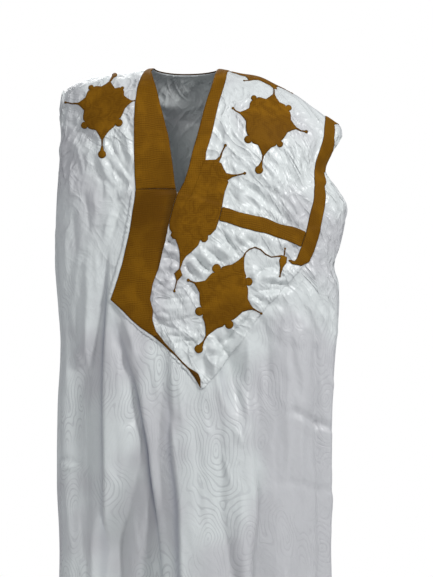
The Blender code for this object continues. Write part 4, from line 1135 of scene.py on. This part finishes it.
CENTRE_TOP_STEM = ((0.0740, -0.2160, 0.0045), (0.0810, -0.2070, 0.0022), (0.0845, -0.1960, STEM),
                   (0.0900, -0.1850, STEM))
CENTRE_SIDE_STEM = ((0.0950, -0.2500, 0.0080), (0.1060, -0.2480, 0.0030), (0.1180, -0.2460, STEM),
                    (0.1300, -0.2430, STEM))
CENTRE_LOW_STEM = ((0.0000, -0.4200, 0.0070), (-0.0030, -0.4320, 0.0030), (-0.0065, -0.4480, STEM),
                   (-0.0095, -0.4600, 0.0092), (-0.0130, -0.4740, STEM), (-0.0175, -0.4930, STEM))
CENTRE_RIGHT_SIDE = ((0.0830, -0.2210), (0.0880, -0.2330))
CENTRE_LOW_SIDE = (
    (0.0980, -0.2620), (0.0900, -0.2830), (0.0840, -0.3150), (0.0770, -0.3450), (0.0710, -0.3630),
    (0.0600, -0.3750), (0.0540, -0.3770), (0.0540, -0.3850), (0.0490, -0.3910), (0.0420, -0.3910),
    (0.0380, -0.3860), (0.0330, -0.3980), (0.0200, -0.4110),
)
CENTRE_LEFT_SIDE = (
    (-0.0080, -0.4080), (-0.0130, -0.3930), (-0.0160, -0.3850), (-0.0220, -0.3830), (-0.0260, -0.3770),
    (-0.0240, -0.3700), (-0.0290, -0.3620), (-0.0296, -0.3500), (-0.0206, -0.3130),
    (-0.0120, -0.2867), (0.0182, -0.2896), (0.0344, -0.2482), (0.0454, -0.2142),
)
CENTRE_BEAD = 0.0032

stems = [along_spike(rows, CENTRE_BEAD)[::-1]
         for rows in (CENTRE_TOP_STEM, CENTRE_SIDE_STEM, CENTRE_LOW_STEM)]
around = [*stems[0], *CENTRE_RIGHT_SIDE, *stems[1], *CENTRE_LOW_SIDE, *stems[2], *CENTRE_LEFT_SIDE]
left_outline = next(outline for made, outline in EMBROIDERED if made == left_band)
embroider("centre_motif_stitched", seen(around), "centre_motif", 0, swirls=True, joins=left_outline)

# ------------------------------------------------------------------------------------------------
# The cloth's small relief, and the laying of every piece on the form. Crisp glazed cloth keeps
# hard little creases, fans out in fine gathers round all the stitching, and is smooth under it.

# Each crease runs from one place to another, in millimetres, and sags sideways between them. It
# stands out (in, if under 0) by height, and dies away over wide on one side and steep on the other.
CREASE_COLUMNS = ("across_0", "down_0", "across_1", "down_1", "sag", "wide", "steep", "height")
CREASES = (
    # over the right shoulder
    (-311, 151, -217, 232, 4.3, 12.9, 6.5, -5), (-335, 174, -235, 266, 4.3, 10.7, 6.5, 3.5),
    (-280, 212, -252, 302, 2.2, 6.5, 4.3, 3), (-305, 220, -283, 353, 0, 8.6, 6.5, 2.5),
    (-185, 223, -126, 321, -4.3, 8.6, 4.3, -5), (-164, 274, -123, 330, -2.2, 6.5, 4.3, 4),
    (-200, 249, -136, 329, -6.5, 6.5, 4.3, -3.5), (-211, 270, -156, 340, -4.3, 8.6, 6.5, 3),
    (-236, 262, -176, 329, -4.3, 8.6, 6.5, -3), (-150, 151, -121, 257, 2.2, 6.5, 4.3, -3),
    (-160, 169, -128, 273, 2.2, 6.5, 4.3, 3), (-175, 194, -136, 290, 0, 6.5, 4.3, -2.5),
    (-123, 337, -161, 359, 2.2, 8.6, 4.3, 5), (-128, 330, -176, 338, -2.2, 6.5, 4.3, -3),
    (-146, 363, -181, 455, -4.3, 8.6, 6.5, -4), (-163, 361, -196, 445, -4.3, 8.6, 6.5, 3),
    (-208, 281, -199, 369, 2.2, 8.6, 6.5, -2.5), (-251, 329, -233, 433, 2.2, 10.7, 6.5, -3),
    (-223, 325, -215, 413, 0, 8.6, 6.5, 2.5), (-286, 352, -269, 483, 0, 10.7, 8.6, -3),
    (-183, 468, -196, 558, -2.2, 8.6, 4.3, -3), (-217, 443, -215, 566, 0, 10.7, 6.5, 2.5),
    (-306, 388, -303, 511, 0, 8.6, 6.5, 2), (-259, 64, -188, 58, -4.3, 10.7, 6.5, 1.5),
    # over the left chest
    (91, 173, 116, 196, 2.2, 6.5, 4.3, 2.5), (80, 208, 109, 232, 2.2, 8.6, 6.5, -2.5),
    (68, 256, 60, 279, 0, 4.3, 3.2, 2), (78, 259, 70, 280, 0, 4.3, 3.2, -1.5),
    (97, 277, 137, 295, -6.5, 6.5, 4.3, 2.5), (95, 293, 124, 310, -6.5, 6.5, 4.3, -2.5),
    (85, 336, 117, 372, 4.3, 8.6, 5.4, -3), (101, 324, 142, 364, 4.3, 8.6, 6.5, 3),
    (126, 322, 183, 354, 2.2, 12.9, 8.6, -4), (155, 300, 204, 321, 4.3, 10.7, 6.5, 2.5),
    (173, 263, 208, 348, -4.3, 10.7, 6.5, -4.5), (194, 229, 220, 340, -4.3, 10.7, 6.5, 4.5),
    (215, 201, 239, 288, -4.3, 8.6, 6.5, -4), (231, 192, 261, 250, -2.2, 8.6, 5.4, 3.5),
    (254, 207, 276, 251, -4.3, 6.5, 4.3, -3), (244, 245, 259, 310, -2.2, 8.6, 6.5, 3),
    (179, 349, 235, 382, 0, 5.4, 3.2, -3.5), (206, 342, 248, 370, 2.2, 8.6, 6.5, 3),
    (242, 298, 260, 345, 0, 8.6, 6.5, -2.5), (235, 122, 272, 113, 2.2, 8.6, 6.5, -2),
    (202, 60, 277, 23, -2.2, 10.7, 6.5, 1.5), (97, 118, 118, 142, 2.2, 8.6, 6.5, 2),
    (89, 141, 103, 188, 0, 8.6, 6.5, -2), (242, 146, 296, 150, 0, 8.6, 6.5, 2),
    (130, 283, 155, 318, 0, 8.6, 6.5, -2.5), (109, 378, 163, 381, 2.2, 8.6, 4.3, 2),
    (160, 264, 237, 361, -4.3, 12.9, 23.6, 7), (118, 306, 179, 373, 0, 10.8, 8.6, -3),
    (184, 309, 256, 361, 0, 4.3, 3.2, -4), (247, 166, 252, 284, 0, 6.4, 4.3, 4),
    (235, 162, 250, 249, 0, 5.4, 4.3, -3), (105, 327, 163, 376, 0, 6.4, 4.3, -4),
    (80, 184, 99, 233, 0, 6.4, 4.3, 4), (70, 200, 85, 250, 0, 5.4, 4.3, -4),
    (297, 221, 288, 306, 0, 8.6, 6.4, 4), (400, 161, 329, 263, 0, 8.6, 6.4, -4),
    (289, 332, 336, 390, 0, 8.6, 6.4, -4), (274, 411, 286, 504, 0, 8.6, 6.4, 4),
    # over the pocket
    (-42, 482, -2, 504, 2.2, 6.5, 4.3, -3), (-46, 504, -12, 517, 2.2, 6.5, 4.3, 3),
    (-59, 533, -27, 536, -2.2, 6.5, 4.3, -3), (-66, 559, 6, 550, -4.3, 6.5, 4.3, 3),
    (-69, 578, 15, 577, -4.3, 6.5, 4.3, -3), (-64, 602, 19, 597, -4.3, 8.6, 4.3, 3),
    (-62, 628, 23, 620, -4.3, 8.6, 4.3, -3), (-53, 658, 22, 642, -4.3, 8.6, 6.5, 3),
    (-33, 678, 26, 667, -2.2, 8.6, 6.5, -2.5), (80, 492, 130, 435, 4.3, 10.7, 6.5, 3.5),
    (64, 489, 105, 444, 4.3, 8.6, 5.4, -3.5), (101, 475, 150, 436, 2.2, 8.6, 6.5, -3),
    (43, 503, 80, 466, 2.2, 6.5, 4.3, 3), (27, 517, 60, 485, 2.2, 6.5, 4.3, -3),
    (147, 520, 206, 475, 4.3, 8.6, 4.3, -3), (146, 537, 223, 485, 4.3, 8.6, 4.3, 3),
    (140, 557, 227, 508, -4.3, 8.6, 5.4, -4), (142, 572, 240, 512, -4.3, 8.6, 5.4, 4),
    (146, 585, 222, 543, -4.3, 6.5, 4.3, -3), (163, 490, 193, 459, 2.2, 6.5, 4.3, 2.5),
    (101, 648, 155, 610, 2.2, 6.5, 4.3, 3), (89, 676, 151, 628, 2.2, 8.6, 6.5, -3),
    (63, 696, 114, 663, 2.2, 8.6, 6.5, 3), (46, 710, 80, 703, 2.2, 8.6, 4.3, -2.5),
    (-7, 586, 19, 586, 0, 6.5, 4.3, 2), (163, 551, 180, 491, 2.2, 8.6, 6.5, 2),
    (146, 591, 74, 687, 0, 5.4, 19.3, -11), (167, 602, 93, 704, 0, 6.4, 4.3, 5.4),
    (138, 599, 91, 650, 0, 8.6, 8.6, 5.4), (64, 657, 93, 701, 0, 10.8, 6.4, -8.1),
    (48, 684, 80, 695, 0, 6.4, 6.4, 5.4), (41, 697, 48, 765, 0, 8.6, 6.4, -4.1),
    (60, 705, 64, 752, 0, 6.4, 6.4, 4.1), (-42, 456, -17, 472, 0, 4.3, 4.3, -5.4),
    (-49, 491, -5, 504, 0, 5.4, 4.3, -5.4), (-51, 478, -12, 483, 0, 5.4, 4.3, 4.1),
    (-51, 512, -17, 517, 0, 5.4, 4.3, 4.1), (-64, 548, -39, 560, 0, 5.4, 4.3, -5.4),
    (-61, 531, -27, 545, 0, 5.4, 4.3, 4.1), (9, 550, 29, 573, 0, 6.4, 4.3, -3.4),
    (-64, 613, -32, 627, 0, 6.4, 4.3, 5.4), (-69, 632, -12, 650, 0, 5.4, 4.3, -4.7),
    (-44, 658, 35, 678, 2.1, 6.4, 4.3, -4.7), (-22, 670, 35, 663, 0, 6.4, 4.3, 4.1),
    (4, 685, 41, 680, 0, 5.4, 4.3, -5.4), (4, 504, 23, 536, 0, 5.4, 4.3, -6.8),
    (11, 494, 45, 538, 0, 6.4, 4.3, 6.8), (21, 489, 64, 532, 0, 5.4, 4.3, -6.8),
    (33, 480, 74, 519, 0, 6.4, 4.3, 5.4), (45, 473, 87, 504, 0, 5.4, 4.3, -5.4),
    (62, 462, 103, 492, 0, 8.6, 6.4, 6.8), (80, 430, 113, 483, 0, 5.4, 4.3, -5.4),
    (109, 430, 134, 460, 0, 6.4, 4.3, 4.7), (130, 435, 155, 453, 0, 5.4, 4.3, -4.1),
    (140, 490, 153, 553, 0, 8.6, 6.4, 4.1), (142, 561, 167, 571, 0, 5.4, 4.3, -5.4),
    (163, 533, 244, 502, 2.1, 6.4, 4.3, -5.4), (155, 520, 223, 498, 0, 6.4, 4.3, 4.1),
    (246, 467, 287, 459, 0, 6.4, 4.3, -5.4),
    # low, towards the right
    (-173, 583, -156, 626, 2.2, 8.6, 4.3, -3), (-158, 613, -125, 693, -4.3, 12.9, 6.5, -6),
    (-139, 627, -103, 725, -4.3, 10.7, 17.2, 4), (-118, 715, -94, 841, -4.3, 15.1, 5.4, -8),
    (-305, 689, -260, 753, 2.2, 10.7, 6.5, -3), (-278, 564, -282, 678, 0, 8.6, 5.4, -3.5),
    (-241, 611, -245, 738, 0, 10.7, 8.6, 3.5), (-319, 617, -313, 758, 0, 8.6, 6.5, 2),
    (-354, 912, -259, 934, -2.2, 6.5, 3.2, 3), (-337, 922, -254, 945, -2.2, 8.6, 4.3, -2.5),
    (-145, 844, -110, 840, 0, 6.5, 4.3, -2), (-37, 740, -22, 869, -2.2, 10.7, 6.5, -4),
    (-10, 741, 2, 865, -2.2, 10.7, 6.5, 3.5), (-69, 692, -61, 800, 0, 10.7, 8.6, 3),
    (-161, 665, -156, 778, 0, 10.7, 8.6, 2.5), (-152, 644, -145, 735, 0, 8.6, 6.5, -2.5),
    (-180, 641, -173, 794, 0, 8.6, 6.5, 2), (-310, 799, -292, 897, 0, 8.6, 6.5, -2),
    (-275, 786, -264, 898, 0, 8.6, 6.5, 2), (-163, 860, -161, 1013, 0, 10.7, 8.6, -2),
    (-316, 978, -296, 1135, 0, 10.7, 6.5, 2), (-274, 997, -270, 1160, 0, 8.6, 6.5, -2.5),
    (-138, 874, -134, 1012, 0, 8.6, 6.5, 1.5), (-371, 889, -255, 933, 0, 4.3, 4.3, -3),
    (-370, 902, -261, 950, 0, 5.4, 4.3, 3), (-331, 465, -204, 503, 0, 3.2, 3.2, 1.8),
    (-319, 617, -266, 682, 0, 6.4, 4.3, -4), (-301, 679, -259, 727, 0, 6.4, 4.3, -4),
    (-193, 927, -150, 994, -4.3, 6.4, 4.3, 2.5), (-155, 847, -120, 842, 0, 4.3, 3.2, -2.5),
    # low, towards the left
    (80, 708, 91, 792, 2.2, 8.6, 5.4, 5), (88, 732, 126, 856, 10.7, 8.6, 5.4, -4),
    (110, 746, 135, 834, 6.5, 8.6, 6.5, 3), (134, 647, 137, 812, 0, 10.7, 6.5, 3.5),
    (180, 632, 181, 746, 0, 12.9, 8.6, -3.5), (226, 523, 203, 644, -2.2, 8.6, 5.4, 3.5),
    (231, 566, 266, 600, 2.2, 8.6, 5.4, 3), (214, 547, 193, 657, -2.2, 10.7, 6.5, -3),
    (285, 574, 292, 653, 0, 8.6, 6.5, -2.5), (211, 788, 354, 777, 2.2, 8.6, 4.3, -5),
    (224, 801, 355, 791, 2.2, 10.7, 6.5, 4), (264, 935, 362, 909, 0, 6.5, 3.2, 3),
    (248, 952, 364, 921, 0, 8.6, 4.3, -2.5), (259, 467, 296, 498, 2.2, 8.6, 6.5, -3),
    (247, 458, 287, 467, 2.2, 6.5, 4.3, 3), (275, 415, 308, 468, 2.2, 8.6, 6.5, 2.5),
    (287, 288, 322, 368, 2.2, 8.6, 6.5, -3), (306, 289, 372, 356, 2.2, 6.5, 4.3, 3),
    (301, 256, 335, 307, 2.2, 8.6, 6.5, 2.5), (43, 783, 58, 864, 0, 10.7, 6.5, -3),
    (63, 790, 75, 884, 0, 10.7, 8.6, 2.5), (164, 677, 169, 829, 0, 10.7, 8.6, 2.5),
    (245, 630, 243, 767, 0, 12.9, 8.6, -2.5), (269, 629, 268, 745, 0, 10.7, 8.6, 2.5),
    (151, 606, 176, 629, 2.2, 8.6, 6.5, -2.5), (130, 621, 59, 748, 2.2, 6.5, 3.2, 2),
    (205, 418, 234, 399, 0, 6.5, 4.3, 2), (298, 824, 308, 1007, 0, 10.7, 8.6, -2),
    (248, 846, 254, 1024, 0, 12.9, 10.7, 2), (194, 864, 199, 1126, 0, 12.9, 10.7, -2),
    (23, 886, 23, 1141, 0, 15.1, 10.7, 2), (57, 907, 60, 1142, 0, 12.9, 10.7, -2),
    (78, 710, 124, 852, 8.6, 4.3, 17.2, 3), (72, 717, 89, 801, 0, 6.4, 4.3, -4),
    (165, 605, 184, 661, 0, 12.9, 10.8, -4), (188, 578, 209, 578, 0, 6.4, 6.4, 4),
    (216, 798, 368, 779, 0, 10.8, 6.4, -5), (229, 813, 339, 806, 0, 12.9, 8.6, 1),
    (176, 962, 400, 899, 0, 6.4, 3.2, -3), (251, 528, 298, 595, 0, 8.6, 6.4, -4),
    (227, 597, 247, 711, 0, 8.6, 6.4, 3), (109, 854, 124, 891, 0, 6.4, 4.3, 4),
    (80, 905, 103, 988, 0, 3.2, 3.2, 3),
    # over the back
    (-300, -100, -220, -200, 4, 12, 7, 4), (-260, -80, -160, -170, 6, 12, 7, -4),
    (-200, -70, -110, -130, 6, 10, 6, 3), (-120, -100, 20, -140, 10, 12, 7, -4),
    (-80, -140, 70, -170, 12, 12, 7, 4), (80, -110, 200, -90, 8, 10, 6, -3),
    (120, -160, 250, -130, 10, 12, 7, 4), (220, -180, 310, -120, 4, 12, 7, -4),
    (-330, -240, -280, -360, 2, 10, 6, -4), (-240, -260, -190, -370, 0, 10, 7, 3),
    (-150, -240, -130, -360, 0, 10, 6, -3), (-60, -250, -20, -380, 2, 12, 7, 3),
    (50, -240, 80, -350, 0, 12, 6, -4), (140, -260, 130, -390, 0, 12, 7, 3),
    (260, -240, 220, -370, 2, 10, 6, -4), (330, -280, 280, -400, 2, 10, 6, 3),
    (-310, -500, -240, -570, 4, 9, 5, -4), (-200, -520, -120, -600, 4, 10, 6, 3),
    (-50, -550, 30, -630, 4, 10, 6, -3), (180, -600, 100, -680, 4, 10, 6, 4),
    (320, -550, 240, -620, 4, 9, 5, -4), (-350, -920, -240, -940, 2, 6, 4, 3),
    (230, -800, 350, -780, 2, 8, 4, -4), (-180, -750, -120, -860, 2, 10, 6, -3),
    (20, -780, 60, -920, 2, 10, 6, 3), (260, -920, 200, -1060, 2, 10, 6, -3),
    (-300, -1020, -280, -1200, 0, 10, 6, 3), (-60, -1050, -50, -1240, 0, 12, 7, -3),
    (120, -1080, 140, -1260, 0, 12, 7, 3),
)
RELIEF_CELL = 0.002
CREASE_POWER = 1.3          # under 2 a crease's top is sharper than a bell
CREASE_DEPTH = 1.35
CREASE_PAST_END = 0.08      # how far it goes past its ends and how long they taper, as shares
CREASE_TAPER = 0.42
GATHER_LENGTH = 0.0125      # from one gather to the next, along the stitching
GATHER_HEIGHT = 0.0022
GATHER_REACH = 0.012        # how far from the stitching they go, and where they are full
GATHER_START = 0.006
GATHER_MEAN = 0.50          # how strong they are, as a share, and how uneven
GATHER_SPREAD = 0.95
UNEVEN_PATCH = (0.03, 0.08)
UNEVEN_SEED = 60
WANDER = 4                  # how far their waves wander, as an angle
WANDER_PATCH = (0.05, 0.05)
WANDER_SEED = 40
CALM_START = 0.001          # the damask is smooth under the stitching and this close to it
CALM_REACH = 0.004
# Beside the pocket's edge the front sinks, and just inside the edge the pocket puffs up.
FURROW_DEPTH = 0.0008
FURROW_REACH = 0.012
FURROW_RIM = 0.0016
FURROW_RIM_AT = 0.006
FURROW_AREA = 0.03
SIDE_CALM = 0.030           # the relief dies away at the side edges, and mostly on the ridge
TOP_CALM = 0.75
TOP_CALM_REACH = 0.06
FRONT_FADE = 0.10           # over how far the rumples die away in front
BACK_FADE = 0.45            # and behind
# Two layers of each are laid, turned apart, each with its own seed.
RUMPLE_TURNS = ((0.5, 11), (-0.6, 23))
RUMPLE_RIDGE = 0.35
RUMPLES = (
    # patch across, patch down, height, from down, to down
    (0.060, 0.045, 0.0030, -0.62, 0.66),
    (0.034, 0.028, 0.0022, -0.58, 0.68),
    (0.019, 0.015, 0.0011, -0.50, 0.66),
    (0.032, 0.120, 0.0034, -1.95, 1.50),
    (0.017, 0.060, 0.0014, -1.95, 1.50),
)

# The relief is worked out on a raster over the whole cloth, and read from it at any place.
cells_across, cells_down = round(CLOTH_HALF_WIDTH / RELIEF_CELL), round(CLOTH_LENGTH / RELIEF_CELL)
raster_across = np.arange(-cells_across, cells_across + 1) * RELIEF_CELL
raster_down = np.arange(-cells_down, cells_down + 1) * RELIEF_CELL
across_of, down_of = np.meshgrid(raster_across, raster_down, indexing="ij")


def window(places, reach):
    """The part of the raster within reach of the box round those places."""
    low, high = np.min(places, axis=0) - reach, np.max(places, axis=0) + reach
    i = np.clip(np.searchsorted(raster_across, (low[0], high[0])), 0, len(raster_across))
    j = np.clip(np.searchsorted(raster_down, (low[1], high[1])), 0, len(raster_down))
    return slice(*i), slice(*j)


def creased():
    """The creases' height over the raster."""
    relief = np.zeros(across_of.shape)
    for row in CREASES:
        crease = dict(zip(CREASE_COLUMNS, np.array(row) / 1000))
        start = np.array([crease["across_0"], crease["down_0"]])
        run = np.array([crease["across_1"], crease["down_1"]]) - start
        length, reach = math.hypot(*run), 3 * crease["wide"] + abs(crease["sag"])
        part = window((start, start + run), reach)
        by_across, by_down = across_of[part] - start[0], down_of[part] - start[1]
        along = (by_across * run[0] + by_down * run[1]) / length**2
        taper = eased((along + CREASE_PAST_END) / CREASE_TAPER)
        taper *= eased((1 + CREASE_PAST_END - along) / CREASE_TAPER)
        within = np.clip(along, 0, 1)
        sag = crease["sag"] * 4 * within * (1 - within)
        off = (by_across * run[1] - by_down * run[0]) / length - sag
        width = np.where(off < 0, crease["wide"], crease["steep"])
        ridge = np.exp(-(np.abs(off / width) ** CREASE_POWER))
        relief[part] += CREASE_DEPTH * crease["height"] * taper * ridge
    return relief


def rumpled():
    """Fine unevenness: low facets that meet in soft ridges."""
    relief = np.zeros(across_of.shape)
    for k, (patch_across, patch_down, height, start, end) in enumerate(RUMPLES):
        for turn_by, seed in RUMPLE_TURNS:
            u = across_of * math.cos(turn_by) + down_of * math.sin(turn_by) * (patch_across / patch_down)
            v = down_of * math.cos(turn_by) - across_of * math.sin(turn_by)
            ridged = RUMPLE_RIDGE - np.abs(soft_noise(u, v, patch_across, patch_down, seed + k))
            within = eased((down_of - start) / BACK_FADE) * eased((end - down_of) / FRONT_FADE + 0.5)
            relief += height * ridged * within
    (out, inward), (top, low) = SMOOTHER_ACROSS, SMOOTHER_DOWN
    right_side = eased((across_of - inward) / (out - inward)) * eased((down_of - top) / (low - top))
    return relief * (1 - SMOOTHER * right_side)


def gathered():
    """Gathers round the stitching, and how much of the relief is left there."""
    relief, calm = np.zeros(across_of.shape), np.ones(across_of.shape)
    for k, (_, outline) in enumerate(EMBROIDERED):
        part = window(outline, 3 * GATHER_REACH)
        places = np.stack([across_of[part], down_of[part]], axis=-1)
        shape = places.shape[:2]
        places = places.reshape(-1, 2)
        far, _, along = nearest_on(places, outline)
        far = np.where(inside(places, outline), 0, far)
        wander = WANDER * soft_noise(along, far, *WANDER_PATCH, WANDER_SEED + k)
        wave = np.sin(2 * math.pi * along / GATHER_LENGTH + wander)
        uneven = soft_noise(along, far, *UNEVEN_PATCH, UNEVEN_SEED + k)
        uneven = np.maximum(0, GATHER_MEAN + GATHER_SPREAD * uneven)
        fade = eased(far / GATHER_START) * np.exp(-((far / GATHER_REACH) ** 2))
        relief[part] += (GATHER_HEIGHT * wave * uneven * fade).reshape(shape)
        near = eased((far - CALM_START) / CALM_REACH).reshape(shape)
        calm[part] = np.minimum(calm[part], near)
    return relief, calm


def furrowed():
    """The furrow round the pocket, and the puffed rim inside it."""
    relief = np.zeros(across_of.shape)
    part = window(pocket_edge, FURROW_AREA)
    places = np.stack([across_of[part], down_of[part]], axis=-1)
    far = signed_distance(places.reshape(-1, 2), pocket_edge).reshape(places.shape[:2])
    sunk = -FURROW_DEPTH * np.where(far > 0, np.exp(-far / FURROW_REACH), 0)
    puffed = FURROW_RIM * np.where(far > 0, 0, np.exp(-((far + FURROW_RIM_AT) / FURROW_RIM_AT) ** 2))
    relief[part] = sunk + puffed
    return relief


gathers, calm = gathered()
RELIEF = (creased() + rumpled() + gathers + furrowed()) * calm
RELIEF *= eased((CLOTH_HALF_WIDTH - np.abs(across_of)) / SIDE_CALM)
RELIEF *= 1 - TOP_CALM * np.exp(-((down_of / TOP_CALM_REACH) ** 2))


def relief_at(across, down):
    """The small relief at those places."""
    i = np.clip((across - raster_across[0]) / RELIEF_CELL, 0, 2 * cells_across - 0.001)
    j = np.clip((down - raster_down[0]) / RELIEF_CELL, 0, 2 * cells_down - 0.001)
    low_i, low_j = np.floor(i).astype(int), np.floor(j).astype(int)
    u, v = i - low_i, j - low_j
    return ((1 - u) * ((1 - v) * RELIEF[low_i, low_j] + v * RELIEF[low_i, low_j + 1])
            + u * ((1 - v) * RELIEF[low_i + 1, low_j] + v * RELIEF[low_i + 1, low_j + 1]))


def worn_form(across, down):
    """The form with its folds and its small relief."""
    outwards, sideways = fold_moves(across, down)
    placed = across + sideways
    outwards = outwards + relief_at(across, down)
    return bare_form(placed, down) + outwards[..., None] * normal_of(bare_form, placed, down)


stitched = [made for made, _ in EMBROIDERED]
for piece in [front, back, pocket, *stitched]:
    co = np.empty(len(piece.data.vertices) * 3)
    piece.data.vertices.foreach_get("co", co)
    across, down, height = co.reshape(-1, 3).T
    # The front carries its painted pleat shade as an attribute, read by its material.
    if piece == front:
        painted_pleat_shade = piece.data.attributes.new("painted_pleat_shade", "FLOAT", "POINT")
        painted_pleat_shade.data.foreach_set("value", pleat_shade_share(across, down).astype(np.float32))
    points = worn_form(across, down) + height[:, None] * normal_of(worn_form, across, down)
    piece.data.vertices.foreach_set("co", points.ravel())
    piece.data.update()

# ------------------------------------------------------------------------------------------------
# The studio: a pale floor just under the hem, a white surround and soft lamps. The camera looks
# level at the robe, and its view ends above the hem.

FLOOR = {"radius": 1.5, "depth": 0.02, "location": (0.03, 0, -1.515)}
FLOOR_GREY = (0.80, 0.80, 0.80, 1)
SURROUND = (0.91, 0.92, 1.0, 1)
SURROUND_GLOW = 0.33
SEEN_SURROUND = (1, 1, 1, 1)
CAMERA = {"location": (0.0723, -4.145, -0.4906), "sensor": 36, "lens": 116.07}

scene = bpy.context.scene
scene.view_settings.view_transform = "Standard"
bpy.ops.mesh.primitive_cylinder_add(vertices=96, **FLOOR)
floor = bpy.context.object
floor.name = "floor"
paint = bpy.data.materials.new("floor_paint")
paint.use_nodes = True
paint.node_tree.nodes["Principled BSDF"].inputs["Base Color"].default_value = FLOOR_GREY
floor.data.materials.append(paint)

world = bpy.data.worlds.new("surround")
scene.world = world
world.use_nodes = True
tree = world.node_tree
seen_by_camera = added(tree, "LightPath", {})
shade = mixed(tree, seen_by_camera, SURROUND, SEEN_SURROUND)
glow = added(tree, "MapRange", {"Value": seen_by_camera, "To Min": SURROUND_GLOW, "To Max": 1.0})
tree.links.new(shade, tree.nodes["Background"].inputs["Color"])
tree.links.new(glow, tree.nodes["Background"].inputs["Strength"])

LAMPS = (
    # name, place, aim, size, watts
    ("key", (2.1, -2.1, 1.4), (0.0, 0.0, -0.4), 0.7, 79),
    ("high", (-0.9, -2.5, 1.8), (0.0, 0.0, -0.4), 0.6, 20),
    ("fill", (-2.2, -2.8, -0.4), (0.0, 0.0, -0.9), 1.6, 9),
    ("behind", (-0.8, 2.6, 1.6), (0.0, 0.0, -0.6), 1.8, 50),
)
for name, place, aim, size, watts in LAMPS:
    data = bpy.data.lights.new(name, "AREA")
    data.size, data.energy = size, watts
    lamp = bpy.data.objects.new(name, data)
    lamp.location = place
    toward = mathutils.Vector(aim) - mathutils.Vector(place)
    lamp.rotation_euler = toward.to_track_quat("-Z", "Y").to_euler()
    scene.collection.objects.link(lamp)

camera = bpy.data.objects.new("camera", bpy.data.cameras.new("camera"))
camera.location = CAMERA["location"]
camera.rotation_euler = (math.pi / 2, 0, 0)
camera.data.sensor_width = CAMERA["sensor"]
camera.data.lens = CAMERA["lens"]
scene.collection.objects.link(camera)
scene.camera = camera
